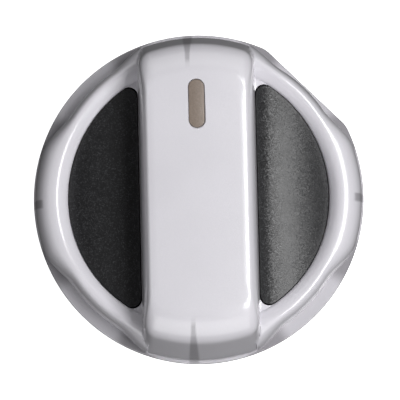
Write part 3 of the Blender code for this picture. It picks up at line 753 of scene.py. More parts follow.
@dataclass(frozen=True)
class MouldedPlastic(Finish):
    """Moulded plastic or rubber with a grain, polished edges and a little dust."""

    grain: float = 0.00030
    depth: float = 0.00002
    edge_gain: float = 1.9
    edge_reach: float = 0.00035
    dust: float = 0.12
    dust_tone: Colour = (0.30, 0.29, 0.28)

    def dress(self, g: Graph, shader: bpy.types.Node, vector: Socket) -> None:
        """Grain in colour, gloss and height; scuffed edges; dust.

        Args:
            g: the material's graph.
            shader: its Principled shader.
            vector: the piece's own coordinates.
        """
        grain = self.place(g, grain_group(), Vector=vector, Size=self.grain)
        base = g.mix(grain.outputs["Slow"], rgba(self.colour, 0.92), rgba(self.colour, 1.08))
        base = g.mix(g.math("MULTIPLY", grain.outputs["Fine"], 0.25), base, rgba(self.colour, 0.8))
        wear = self.worn(g, vector, self.edge_reach, 0.7)
        base = g.mix(wear, base, rgba(self.colour, self.edge_gain))
        soil = self.place(g, soil_group(), Vector=vector, Amount=self.dust).outputs["Mask"]
        base = g.mix(soil, base, rgba(self.dust_tone))
        rough = g.math("ADD", self.rough, g.math("MULTIPLY", grain.outputs["Fine"], 0.10))
        rough = g.math("SUBTRACT", rough, g.math("MULTIPLY", wear, 0.12))
        self.feed(g, shader, Base_Color=base, Roughness=rough,
                  Normal=self.bump(g, grain.outputs["Height"], 0.5, self.depth))


@dataclass(frozen=True)
class PlatedMetal(Finish):
    """Plated or bare metal with a fine texture, tarnish in patches, and worn edges."""

    grain: float = 0.00014
    depth: float = 0.000006
    tarnish: Colour = (0.30, 0.28, 0.25)
    tarnish_share: float = 0.25
    bare: Colour = (0.75, 0.74, 0.72)
    edge_reach: float = 0.00025

    def patches(self, g: Graph, vector: Socket) -> Socket:
        """The tarnish mask: slow patches with ragged edges."""
        return g.spread(g.noise(vector, 240.0, 4.0, 0.6), 0.45, 0.75, 0.0, self.tarnish_share)

    def dress(self, g: Graph, shader: bpy.types.Node, vector: Socket) -> None:
        """Grain, tarnish and bright edges.

        Args:
            g: the material's graph.
            shader: its Principled shader.
            vector: the piece's own coordinates.
        """
        grain = self.place(g, grain_group(), Vector=vector, Size=self.grain)
        patches = self.patches(g, vector)
        base = g.mix(patches, rgba(self.colour), rgba(self.tarnish))
        wear = self.worn(g, vector, self.edge_reach, 0.8)
        base = g.mix(wear, base, rgba(self.bare))
        rough = g.math("ADD", self.rough, g.math("MULTIPLY", grain.outputs["Fine"], 0.12))
        rough = g.math("ADD", rough, g.math("MULTIPLY", patches, 0.5))
        self.feed(g, shader, Base_Color=base, Roughness=rough,
                  Normal=self.bump(g, grain.outputs["Height"], 0.4, self.depth))


@dataclass(frozen=True)
class TurnedMetal(PlatedMetal):
    """Metal turned round the shaft's axis."""

    pitch: float = 0.00012
    mark_depth: float = 0.000004

    def dress(self, g: Graph, shader: bpy.types.Node, vector: Socket) -> None:
        """Tool marks, tarnish and bright edges.

        Args:
            g: the material's graph.
            shader: its Principled shader.
            vector: the piece's own coordinates.
        """
        marks = self.place(g, turning_group(), Vector=vector, Pitch=self.pitch)
        patches = self.patches(g, vector)
        base = g.mix(patches, rgba(self.colour), rgba(self.tarnish))
        base = g.mix(g.math("MULTIPLY", marks.outputs["Lines"], 0.2), base, rgba(self.colour, 0.75))
        base = g.mix(self.worn(g, vector, self.edge_reach, 0.7), base, rgba(self.bare))
        rough = g.math("ADD", self.rough, g.math("MULTIPLY", marks.outputs["Lines"], 0.10))
        self.feed(g, shader, Base_Color=base, Roughness=rough,
                  Normal=self.bump(g, marks.outputs["Height"], 0.5, self.mark_depth))


PEARL = PearlPaint("pearl_paint", (0.72, 0.705, 0.75), 0.32, 0.0)
ANTHRACITE = SatinPaint("anthracite_paint", (0.011, 0.011, 0.012), 0.335, 0.0, sparkle=0.16)
POINTER = SatinPaint("pointer_paint", (0.25, 0.20, 0.165), 0.42, 0.0, sparkle=0.06)
NYLON = MouldedPlastic("hub_nylon", (0.76, 0.75, 0.70), 0.42, edge_gain=1.15, dust=0.1)
SPRING_STEEL = PlatedMetal("spring_steel", (0.48, 0.48, 0.49), 0.26, 1.0)
CASE_PLASTIC = MouldedPlastic("case_plastic", (0.030, 0.031, 0.033), 0.48)
COVER_PLASTIC = MouldedPlastic("cover_plastic", (0.042, 0.044, 0.047), 0.44)
RUBBER = MouldedPlastic("gasket_rubber", (0.022, 0.022, 0.022), 0.72, grain=0.00045, depth=0.00004)
DECK_PLASTIC = MouldedPlastic("deck_plastic", (0.15, 0.045, 0.030), 0.52, edge_gain=1.6)
TINNED = PlatedMetal("tinned_copper", (0.74, 0.72, 0.68), 0.24, 1.0, tarnish=(0.42, 0.36, 0.30))
ZINC = PlatedMetal("zinc_steel", (0.64, 0.65, 0.67), 0.27, 1.0, tarnish=(0.50, 0.47, 0.38))
SHAFT_STEEL = TurnedMetal("shaft_steel", (0.60, 0.60, 0.61), 0.22, 1.0)
IVORY = MouldedPlastic("carrier_plastic", (0.62, 0.59, 0.52), 0.48, edge_gain=1.15, dust=0.1)
COPPER = PlatedMetal("copper", (0.80, 0.40, 0.26), 0.26, 1.0, tarnish=(0.38, 0.16, 0.10),
                     bare=(0.90, 0.55, 0.42))
BRASS = PlatedMetal("brass", (0.74, 0.54, 0.25), 0.26, 1.0, tarnish=(0.40, 0.27, 0.12),
                    bare=(0.85, 0.70, 0.42))


# ------------------------------------------------------------------ the case and what stays with it


@dataclass
class Layout:
    """Places that several sub-assemblies share, in millimetres."""

    stud_x: float = 12.5
    column_at: float = 22.27
    sleeve_r: float = 3.1
    boss_at: float = 21.6
    boss_angle: float = 70.7
    deck_t: float = 4.0
    journal_r: float = 4.85

    def columns(self) -> list[Flat]:
        """Centres of the four mounting sleeves, on the diagonals."""
        return [polar(self.column_at, 45.0 + 90.0 * i) for i in range(4)]

    def bosses(self) -> list[Flat]:
        """Centres of the four deck screws."""
        a = self.boss_angle
        return [polar(self.boss_at, turn) for turn in (a, 180.0 - a, 180.0 + a, -a)]


@dataclass
class Case:
    """Moulded cup with its gasket, cable covers, columns, posts and collar."""

    layout: Layout
    bore: float = 26.1
    radius: float = 28.5
    edge: float = 1.4
    front_t: float = 3.0
    collar_r: float = 8.85
    collar_h: float = 3.0
    pocket_r: float = 7.25
    pocket_floor: float = 0.9
    journal_fit: float = 0.25
    column_r: float = 4.3
    boss_r: float = 3.0
    boss_bore: float = 11.0
    screw_hole_r: float = 1.7
    notch_half: float = 8.5
    notch_h: float = 14.0
    post_half: float = 1.5
    post_y: float = 9.0
    leaf_x: float = 8.5
    leaf_t: float = 0.5
    stop_r: float = 1.5
    stop_at: float = 15.9
    stop_turns: Flat = (103.9, -13.9)
    groove: float = 0.45
    groove_drop: float = 4.2
    rib: float = 0.35
    rib_from: float = 3.4
    rib_pitch: float = 1.7
    pry_r: float = 1.6
    pry_out: float = 8.2
    pry_z: float = 1.9

    def profile(self, low: float, front: float) -> list[Flat]:
        """Draw the cup from its rim to its collar.

        Args:
            low: height of the rim.
            front: height of the front face.

        Returns:
            The closed (radius, height) outline.
        """
        inside = front - self.front_t
        top = front + self.collar_h
        bore = self.layout.journal_r + self.journal_fit
        groove_z = front - self.groove_drop
        line = [(self.bore, low), (self.radius, low)]
        line += [(self.radius, groove_z - self.groove), (self.radius - self.groove, groove_z)]
        line += [(self.radius, groove_z + self.groove), (self.radius, front - self.edge)]
        line += arc(self.edge, 0, 90, 6, (self.radius - self.edge, front - self.edge))[1:]
        line += [(self.collar_r + 0.5, front), (self.collar_r, front + 0.4), (self.collar_r, top - 0.3)]
        line += [(self.collar_r - 0.3, top), (self.pocket_r + 0.25, top), (self.pocket_r, top - 0.25)]
        line += [(self.pocket_r, front + self.pocket_floor), (bore, front + self.pocket_floor)]
        return line + [(bore, inside), (self.bore - 0.4, inside), (self.bore, inside - 0.4)]

    def build(self) -> None:
        """Make the case, its gasket and its two covers."""
        low, high = span("case")
        front = high.z - self.collar_h
        deck_top = span("terminal_deck")[0].z + self.layout.deck_t
        sunk = front - self.front_t / 2
        carrier_top = span("detent_wheel")[0].z - GAP
        body = turned(self.profile(low.z, front), 160)
        adds = [prism(ring_points(self.column_r, 40, at), deck_top + GAP, sunk)
                for at in self.layout.columns()]
        adds += [prism(ring_points(self.boss_r, 32, at), deck_top + GAP, sunk)
                 for at in self.layout.bosses()]
        post_x = self.leaf_x + self.leaf_t / 2
        half = self.post_half
        for side in (-1, 1):
            for end in (-1, 1):
                at = (side * post_x, end * self.post_y)
                corners = box_points((at[0] - half, at[1] - half), (at[0] + half, at[1] + half))
                adds.append(prism(fillet(corners, 0.3), carrier_top + GAP, sunk))
        for turn in self.stop_turns:
            post = ring_points(self.stop_r, 24, polar(self.stop_at, turn))
            adds.append(prism(post, carrier_top + GAP, sunk))
        body = work(body, gather(adds), Cut.JOIN, crossing=True)

        cuts = [prism(ring_points(self.layout.sleeve_r + GAP, 40, at), deck_top, front + 1)
                for at in self.layout.columns()]
        cuts += [prism(ring_points(self.screw_hole_r, 24, at), deck_top, deck_top + self.boss_bore)
                 for at in self.layout.bosses()]
        reach = self.post_y + 2 * half
        for side in (-1, 1):
            xs = sorted((side * (self.leaf_x - GAP), side * (self.leaf_x + self.leaf_t + GAP)))
            cuts.append(prism(box_points((xs[0], -reach), (xs[1], reach)), carrier_top,
                              front - self.front_t - GAP))
            xs = sorted((side * (self.bore - 2), side * (self.radius + 2)))
            notch = box_points((xs[0], -self.notch_half), (xs[1], self.notch_half))
            cuts.append(prism(notch, -1.0, self.notch_h))
        body = work(body, gather(cuts), Cut.REMOVE)
        settle("switch_case", body, CASE_PLASTIC, "housing", ["case"])

        gasket_low, gasket_high = span("rim_gasket")
        ring = box_points((self.bore, gasket_low.z), (self.radius, gasket_high.z))
        settle("rim_seal", turned(fillet(ring, 0.3), 160), RUBBER, "housing", ["rim_gasket"])
        for side, tag in ((-1, "left"), (1, "right")):
            self.cover(side, tag)

    def cover(self, side: int, tag: str) -> None:
        """One snap-in cable cover with grip ribs and a hole to pry it out by.

        Args:
            side: -1 on the left, 1 on the right.
            tag: the side's name.
        """
        low, high = span(f"cable_cover_{tag}")
        outer = self.radius
        line = [(self.bore, low.z), (outer - 0.4, low.z), (outer, low.z + 0.4)]
        for i in range(4):
            z = low.z + self.rib_from + self.rib_pitch * i
            line += [(outer, z), (outer + self.rib, z + 0.25)]
            line += [(outer + self.rib, z + 0.65), (outer, z + 0.9)]
        line += [(outer, high.z - 0.4), (outer - 0.4, high.z), (self.bore, high.z)]
        shell = turned(line, 200)
        half = high.y
        xs = sorted((side * self.bore / 2, side * (outer + 2)))
        keep = prism(fillet(box_points((xs[0], -half), (xs[1], half)), 0.01), low.z - 1, high.z + 1)
        plate = work(shell, keep, Cut.KEEP)
        hole = turned([(0.0, -9.0), (self.pry_r, -9.0), (self.pry_r, 9.0), (0.0, 9.0)], 24)
        level = Matrix.Rotation(math.pi / 2, 3, "Y")
        bmesh.ops.rotate(hole, verts=list(hole.verts), cent=(0, 0, 0), matrix=level)
        spot = (side * (outer + self.pry_out), 0.0, low.z + self.pry_z)
        bmesh.ops.translate(hole, verts=list(hole.verts), vec=spot)
        plate = work(plate, hole, Cut.REMOVE)
        settle(f"cover_plate_{tag}", plate, COVER_PLASTIC, f"cover_{tag}", [f"cable_cover_{tag}"])


@dataclass
class Deck:
    """Terminal deck, its barrier, its screws and the mounting sleeves."""

    layout: Layout
    radius: float = 25.6
    pad_r: float = 7.0
    neck: float = 6.1
    ring_in: float = 7.0
    ring_out: float = 8.2
    ring_drop: float = 0.45
    groove_half: float = 1.3
    groove_top: float = 1.5
    barrier_half: float = 1.0
    screw_r: float = 1.4
    head_r: float = 2.8
    head_h: float = 2.0
    recess_half: float = 0.42
    recess_reach: float = 1.75
    recess_depth: float = 1.35
    thread_pitch: float = 1.1
    thread_depth: float = 0.32
    sleeve_bore: float = 2.3

    def build(self) -> None:
        """Make the deck, the barrier, four screws and four sleeves."""
        low, high = span("terminal_deck")
        top = low.z + self.layout.deck_t
        body = solid([(self.radius, low.z), (self.radius, top)], 0.35, 128)
        pads = [prism(ring_points(self.pad_r, 48, (0.0, end * self.layout.stud_x)), top - 1, high.z)
                for end in (-1, 1)]
        body = work(body, gather(pads), Cut.JOIN)
        cuts = [prism(ring_points(self.neck, 48, (side * self.layout.stud_x, 0.0)), low.z - 1, top + 1)
                for side in (-1, 1)]
        cuts += [prism(ring_points(self.screw_r + GAP, 24, at), low.z - 1, top + 1)
                 for at in self.layout.bosses()]
        for i in range(4):
            turn = 45.0 + 90.0 * i
            at = polar(self.layout.column_at, turn)
            slot = arc(self.layout.sleeve_r + GAP, turn + 90, turn + 270, 20, at)
            out = polar(8.0, turn)
            slot += [(slot[-1][0] + out[0], slot[-1][1] + out[1])]
            slot += [(slot[0][0] + out[0], slot[0][1] + out[1])]
            cuts.append(prism(slot, low.z - 1, top + 1))
        reach = span("terminal_barrier")[1].y + GAP
        groove = box_points((-self.groove_half, -reach), (self.groove_half, reach))
        cuts.append(prism(groove, low.z - 1, low.z + self.groove_top))
        body = work(body, gather(cuts), Cut.REMOVE)
        ring = fillet(box_points((self.ring_in, low.z - self.ring_drop), (self.ring_out, low.z + 1.0)), 0.25)
        rings = [turned(ring, 64, (side * self.layout.stud_x, 0.0)) for side in (-1, 1)]
        body = work(body, gather(rings), Cut.JOIN)
        settle("deck_moulding", body, DECK_PLASTIC, "housing", ["terminal_deck"])

        b_low, b_high = span("terminal_barrier")
        foot = box_points((-self.barrier_half, b_low.y), (self.barrier_half, b_high.y))
        wall = ease(prism(foot, b_low.z, b_high.z), 0.3, segments=3)
        settle("barrier_wall", wall, DECK_PLASTIC, "housing", ["terminal_barrier"])
        for i, at in enumerate(self.layout.bosses(), 1):
            self.screw(i, at)
        for i, at in enumerate(self.layout.columns(), 1):
            self.sleeve(i, at)

    def screw(self, index: int, at: Flat) -> None:
        """Pan-head screw with a cross recess and a coarse thread.

        Args:
            index: the screw's number.
            at: its centre.
        """
        low, high = span(f"deck_screw_{index}")
        head_top = low.z + self.head_h
        crown = [(0.9, low.z), (self.head_r * 0.72, low.z + 0.18), (self.head_r * 0.93, low.z + 0.7)]
        crown += [(self.head_r, low.z + 1.25), (self.head_r, head_top - 0.1), (self.head_r - 0.1, head_top)]
        head = solid(crown + [(self.screw_r, head_top)], 0.0, 48, at)
        arms = []
        for u, v in ((self.recess_half, self.recess_reach), (self.recess_reach, self.recess_half)):
            wide = box_points((at[0] - u, at[1] - v), (at[0] + u, at[1] + v))
            narrow = box_points((at[0] - u * 0.5, at[1] - v * 0.5), (at[0] + u * 0.5, at[1] + v * 0.5))
            arms.append(tapered([wide, narrow], [low.z - 0.3, low.z + self.recess_depth]))
        head = work(head, gather(arms), Cut.REMOVE, crossing=True)
        pitch, depth = self.thread_pitch, self.thread_depth
        turns = (high.z - head_top) / pitch
        rows = int(turns * 8)

        def place(row: int, i: int) -> Point:
            """A point of the thread, which runs out to a tip.

            Args:
                row: number of the row along the screw.
                i: number of the point round it.

            Returns:
                The point's place.
            """
            angle = math.tau * i / 20
            z = head_top - 0.02 + (high.z - head_top) * row / (rows - 1)
            share = (z - head_top) / (high.z - head_top)
            taper = 1.0 - 0.75 * smooth_step(0.84, 1.0, share)
            phase = (z / pitch - i / 20) % 1.0
            ridge = max(0.0, 1 - abs(phase - 0.5) * 5) * smooth_step(0.02, 0.1, share)
            r = (self.screw_r - depth + depth * ridge) * taper
            return at[0] + r * math.cos(angle), at[1] + r * math.sin(angle), z

        settle(f"pan_screw_{index}", gather([head, skin(20, rows, place)]), ZINC, "housing",
               [f"deck_screw_{index}"])

    def sleeve(self, index: int, at: Flat) -> None:
        """Turned compression sleeve with chamfered ends.

        Args:
            index: the sleeve's number.
            at: its centre.
        """
        low, high = span(f"mount_sleeve_{index}")
        wall = box_points((self.sleeve_bore, low.z), (self.layout.sleeve_r, high.z))
        settle(f"sleeve_{index}", turned(fillet(wall, 0.3, steps=2), 48, at), BRASS, "housing",
               [f"mount_sleeve_{index}"])


@dataclass
class Terminal:
    """One stud with its washers and nut."""

    side: int
    layout: Layout
    stud_r: float = 4.0
    seat_ring: float = 5.8
    seat_drop: float = 1.0
    pad_r: float = 7.0
    pitch: float = 1.25
    thread: float = 0.42
    washer_r: float = 8.0
    lock_r: float = 6.9
    lock_split: float = 10.0
    lock_share: float = 0.8
    nut_half: float = 6.5

    @property
    def tag(self) -> str:
        """left or right."""
        return "left" if self.side < 0 else "right"

    @property
    def at(self) -> Flat:
        """Centre of the stud."""
        return self.side * self.layout.stud_x, 0.0

    def build(self) -> None:
        """Make the stud, both washers and the nut."""
        self.stud()
        low, high = span(f"flat_washer_{self.tag}")
        ring = fillet(box_points((self.stud_r + GAP, low.z), (self.washer_r, high.z)), 0.3)
        settle(f"washer_{self.tag}", turned(ring, 64, self.at), ZINC, "housing", [f"flat_washer_{self.tag}"])
        self.lock_washer()
        self.nut()

    def stud(self) -> None:
        """Threaded stud with a seat for the lug and a contact pad inside."""
        low, high = span(f"stud_{self.tag}")
        seat = span("terminal_deck")[0].z - self.seat_drop
        deck_top = span("terminal_deck")[0].z + self.layout.deck_t + GAP
        x, y = self.at
        steps, length = 48, seat - 0.9 - low.z
        rows = int(length / self.pitch * 10)

        def place(row: int, i: int) -> Point:
            """A point of the thread, or past its rows of the seat and the contact pad.

            Args:
                row: number of the row along the stud.
                i: number of the point round it.

            Returns:
                The point's place.
            """
            angle = math.tau * i / steps
            if row >= rows:
                ends = [(self.stud_r - self.thread, seat - 0.7), (self.stud_r - self.thread, seat)]
                ends += [(self.seat_ring - 0.15, seat), (self.seat_ring, seat + 0.15)]
                ends += [(self.seat_ring, deck_top), (self.pad_r - 0.2, deck_top)]
                ends += [(self.pad_r, deck_top + 0.2), (self.pad_r, high.z - 0.3)]
                ends += [(self.pad_r - 0.3, high.z)]
                r, z = ends[row - rows]
            else:
                z = low.z + length * row / (rows - 1)
                phase = (z / self.pitch - i / steps) % 1.0
                ridge = min(1.0, max(0.0, 1.15 - 2.3 * abs(phase - 0.5)))
                r = self.stud_r - self.thread * (1.0 - ridge)
                r = min(r, self.stud_r - 0.9 + (z - low.z))
                fade = smooth_step(length - 1.0, length, z - low.z)
                r += (self.stud_r - self.thread - r) * fade
            return x + r * math.cos(angle), y + r * math.sin(angle), z

        settle(f"terminal_stud_{self.tag}", skin(steps, rows + 9, place), TINNED, "housing",
               [f"stud_{self.tag}"], smooth=40.0)

    def lock_washer(self) -> None:
        """Split spring washer whose ends stand apart."""
        low, high = span(f"lock_washer_{self.tag}")
        inner, outer = self.stud_r + GAP, self.lock_r
        thick = (high.z - low.z) * self.lock_share
        lift = (high.z - low.z) - thick
        section = fillet(box_points((inner, 0.0), (outer, thick)), 0.25, steps=2)
        steps = 48
        x, y = self.at

        def place(row: int, i: int) -> Point:
            """A point of the wire, whose last part leans away from its seat.

            Args:
                row: number of the section round the washer.
                i: number of the point round the section.

            Returns:
                The point's place.
            """
            share = row / steps
            angle = math.radians(90.0 + self.lock_split / 2 + (360.0 - self.lock_split) * share)
            r, z = section[i]
            lean = lift * smooth_step(0.6, 1.0, share)
            return x + r * math.cos(angle), y + r * math.sin(angle), low.z + z + lean

        settle(f"spring_washer_{self.tag}", skin(len(section), steps + 1, place), SPRING_STEEL, "housing",
               [f"lock_washer_{self.tag}"])

    def nut(self) -> None:
        """Hexagon nut with turned corners and a chamfered bore."""
        low, high = span(f"stud_nut_{self.tag}")
        corner = self.nut_half / math.cos(math.radians(30))
        hexagon = prism(ring_points(corner, 6, self.at), low.z, high.z)
        dome = [(self.nut_half - 0.15, low.z), (corner + 0.05, low.z + 0.75)]
        dome += [(corner + 0.05, high.z - 0.75), (self.nut_half - 0.15, high.z)]
        hexagon = work(hexagon, solid(dome, 0.0, 72, self.at), Cut.KEEP)
        bore = self.stud_r + 0.12
        hole = [(bore + 0.7, low.z - 0.2), (bore + 0.55, low.z), (bore, low.z + 0.6), (bore, high.z - 0.6)]
        hole += [(bore + 0.55, high.z), (bore + 0.7, high.z + 0.2)]
        hexagon = work(hexagon, solid(hole, 0.0, 48, self.at), Cut.REMOVE)
        settle(f"hex_nut_{self.tag}", ease(hexagon, 0.12, 50.0), ZINC, "housing", [f"stud_nut_{self.tag}"])


# ------------------------------------------------------------------ the shaft and what turns with it


@dataclass
class ShaftTrain:
    """Drive shaft, carrier, detent wheel, washers, circlip, seal, springs and contact bridge."""

    layout: Layout
    flange_r: float = 6.3
    flange_t: float = 1.0
    drive_half: float = 4.0
    drive_fit: float = 0.2
    journal_fit: float = 0.25
    groove: float = 0.75
    tail_r: float = 4.0
    tail_flat: float = 3.0
    tail_l: float = 12.0
    sweep_r: float = 17.2
    bridge_half_w: float = 6.5
    pilot_r: float = 3.6
    carrier_t: float = 3.0
    cheek_t: float = 2.5
    cheek_half: float = 5.0
    lug_radial: float = 2.2
    lug_half: float = 8.0
    wheel_r: float = 8.0
    notch_r: float = 1.6
    notch_at: float = 8.5
    leaf_t: float = 0.5
    bump_r: float = 1.2
    clip_open: float = 30.0
    clip_wide: float = 2.1
    clip_most: float = 2.25
    eye_r: float = 0.42
    eye_at: float = 1.25
    eye_turn: float = 9.0
    spring_r: float = 5.0
    wire_r: float = 0.5
    spring_turns: float = 3.5
    seal_wire: float = 0.95

    def build(self) -> None:
        """Make every piece of the train, from the bridge up."""
        self.bridge()
        self.contact_spring()
        self.carrier()
        self.wheel()
        self.shaft()
        self.washers()
        self.leaf_springs()

    def square(self, half: float, edge: float) -> list[Flat]:
        """A square round the axis with rounded corners."""
        return fillet(box_points((-half, -half), (half, half)), edge, steps=3)

    def bridge(self) -> None:
        """Rolled copper bar with round ends, silvered pads and a pilot."""
        low, high = span("contact_bridge")
        end_r = self.sweep_r - self.drive_fit
        turn = math.degrees(math.asin(self.bridge_half_w / end_r))
        outline = arc(end_r, 90 - turn, 90 + turn, 24) + arc(end_r, 270 - turn, 270 + turn, 24)
        top = span("contact_spring")[0].z - GAP
        bar = ease(prism(outline, low.z, top), 0.25, segments=2)
        pilot = solid([(self.pilot_r, low.z + 1.0), (self.pilot_r, high.z)], 0.3, 48)
        settle("bridge_bar", work(bar, pilot, Cut.JOIN), COPPER, "bridge", ["contact_bridge"])

    def contact_spring(self) -> None:
        """Coil of round wire."""
        low, high = span("contact_spring")
        steps, sides = int(self.spring_turns * 32), 12
        rise = (high.z - low.z) - 2 * self.wire_r

        def place(row: int, i: int) -> Point:
            """A point of the wire.

            Args:
                row: number of the section along the coil.
                i: number of the point round the section.

            Returns:
                The point's place.
            """
            share = row / steps
            angle = math.tau * self.spring_turns * share
            u, v = polar(self.wire_r, 360.0 * i / sides)
            r = self.spring_r + u
            return r * math.cos(angle), r * math.sin(angle), low.z + self.wire_r + rise * share + v

        settle("coil_spring", skin(sides, steps + 1, place), SPRING_STEEL, "rotor", ["contact_spring"])

    def carrier(self) -> None:
        """Ivory disc with cheeks that drive the bridge and a stop lug."""
        low, high = span("contact_carrier")
        top = span("detent_wheel")[0].z - GAP
        bottom = top - self.carrier_t
        disc = solid([(self.sweep_r, bottom), (self.sweep_r, top)], 0.4, 96)
        inner = self.bridge_half_w + GAP
        adds = []
        for side in (-1, 1):
            xs = sorted((side * inner, side * (inner + self.cheek_t)))
            corners = box_points((xs[0], -self.cheek_half), (xs[1], self.cheek_half))
            adds.append(prism(fillet(corners, 0.5), low.z, bottom + 1.5))
        out = self.sweep_r - self.drive_fit - 0.2
        within = out - self.lug_radial
        lug = arc(out, 90 - self.lug_half, 90 + self.lug_half, 8)
        lug += arc(within, 90 + self.lug_half, 90 - self.lug_half, 8)
        adds.append(prism(fillet(lug, 0.3), top - 1.5, high.z))
        disc = work(disc, gather(adds), Cut.JOIN)
        hole = prism(self.square(self.drive_half + self.drive_fit, 0.2), bottom - 1, top + 1)
        settle("carrier_disc", work(disc, hole, Cut.REMOVE), IVORY, "rotor", ["contact_carrier"])

    def wheel(self) -> None:
        """Detent wheel with four notches."""
        low, high = span("detent_wheel")
        disc = solid([(self.wheel_r, low.z), (self.wheel_r, high.z)], 0.25, 96)
        cuts = [prism(ring_points(self.notch_r, 32, polar(self.notch_at, 90 * i)), low.z - 1, high.z + 1)
                for i in range(4)]
        cuts.append(prism(self.square(self.drive_half + self.drive_fit, 0.2), low.z - 1, high.z + 1))
        settle("notched_wheel", work(disc, gather(cuts), Cut.REMOVE), NYLON, "rotor", ["detent_wheel"])

    def shaft(self) -> None:
        """Turned shaft: flange, square drive, journal with a circlip groove and a D-shaped tail."""
        low, high = span("drive_shaft")
        flange_top = low.z + self.flange_t
        wheel_top = span("detent_wheel")[1].z
        thrust = span("thrust_washer")[0].z
        clip_low, clip_high = (v.z for v in span("shaft_circlip"))
        journal, grooved = self.layout.journal_r, self.layout.journal_r - self.groove
        tail_low = high.z - self.tail_l
        core = self.drive_half - self.drive_fit
        line = [(self.flange_r, low.z), (self.flange_r, flange_top), (core, flange_top), (core, thrust)]
        line += [(journal, thrust), (journal, clip_low - 0.1), (grooved, clip_low - 0.1)]
        line += [(grooved, clip_high + 0.12), (journal, clip_high + 0.12), (journal, tail_low)]
        line += [(self.tail_r, tail_low), (self.tail_r, high.z - 0.7), (self.tail_r - 0.7, high.z)]
        body = solid(line, 0.12, 72, rounding=2)
        drive = prism(self.square(self.drive_half, 0.5), flange_top - 0.4, wheel_top + 0.1)
        body = work(body, drive, Cut.JOIN)
        flat = prism(box_points((-8, self.tail_flat), (8, 8)), tail_low, high.z + 1)
        body = work(body, flat, Cut.REMOVE)
        centre = solid([(0.9, high.z + 0.05), (0.05, high.z - 0.8)], 0.0, 24)
        settle("turned_shaft", work(body, centre, Cut.REMOVE), SHAFT_STEEL, "rotor", ["drive_shaft"])

    def washers(self) -> None:
        """Thrust washer, circlip, O-ring and seal washer."""
        inner = self.layout.journal_r + self.journal_fit
        low, high = span("thrust_washer")
        ring = fillet(box_points((inner, low.z), (high.x, high.z)), 0.12, steps=2)
        settle("thrust_ring", turned(ring, 72), NYLON, "rotor", ["thrust_washer"])
        low, high = span("seal_washer")
        ring = fillet(box_points((inner, low.z), (high.x, high.z)), 0.15, steps=2)
        settle("seal_cap", turned(ring, 96), NYLON, "housing", ["seal_washer"])
        low, high = span("shaft_o_ring")
        mid = (low.z + high.z) / 2
        section = [(inner + self.seal_wire + u, mid + v) for u, v in ring_points(self.seal_wire, 20)]
        settle("o_ring", turned(section, 72), RUBBER, "housing", ["shaft_o_ring"])
        low, high = span("shaft_circlip")
        inside = self.layout.journal_r - self.groove + self.drive_fit
        settle("retaining_ring", self.circlip(inside, high.z - low.z, low.z), SPRING_STEEL, "rotor",
               ["shaft_circlip"])

    def circlip(self, inner: float, thick: float, low: float) -> bmesh.types.BMesh:
        """External circlip: widest opposite its opening, with an eye at each end.

        Args:
            inner: radius of its bore.
            thick: its thickness.
            low: height of its lower face.

        Returns:
            The clip's mesh.
        """
        start, end = 90.0 + self.clip_open, 450.0 - self.clip_open
        steps = 40
        outline = arc(inner, start, end, steps)
        outer = []
        for i in range(steps + 1):
            turn = end + (start - end) * i / steps
            share = abs(turn - 270.0) / (180.0 - self.clip_open)
            width = 1.0 + (self.clip_wide - 1.0) * math.cos(share * math.pi / 2)
            width += 1.1 * smooth_step(0.80, 0.93, share)
            outer.append(polar(inner + min(width, self.clip_most), turn))
        plate = prism(outline + outer, low, low + thick)
        eyes = [prism(ring_points(self.eye_r, 16, polar(inner + self.eye_at, turn)), low - 1, low + thick + 1)
                for turn in (start + self.eye_turn, end - self.eye_turn)]
        return ease(work(plate, gather(eyes), Cut.REMOVE), 0.08, 50.0, 1)

    def leaf_springs(self) -> None:
        """Two bent leaves whose bumps sit in the wheel's notches."""
        for side, tag in ((-1, "left"), (1, "right")):
            low, high = span(f"detent_spring_{tag}")
            face, back = self.notch_at, self.notch_at + self.leaf_t
            inner = [(face, low.y), *arc(self.bump_r, 270, 90, 16, (face, 0.0)), (face, high.y)]
            bend = arc(self.bump_r - self.leaf_t, 90, 270, 16, (back, 0.0))
            outer = [(back, high.y), *bend, (back, low.y)]
            outline = [(side * x, y) for x, y in inner + outer]
            leaf = ease(prism(outline, low.z, high.z), 0.06, 50.0, 1)
            settle(f"leaf_spring_{tag}", leaf, SPRING_STEEL, "housing", [f"detent_spring_{tag}"])


# ------------------------------------------------------------------ the knob


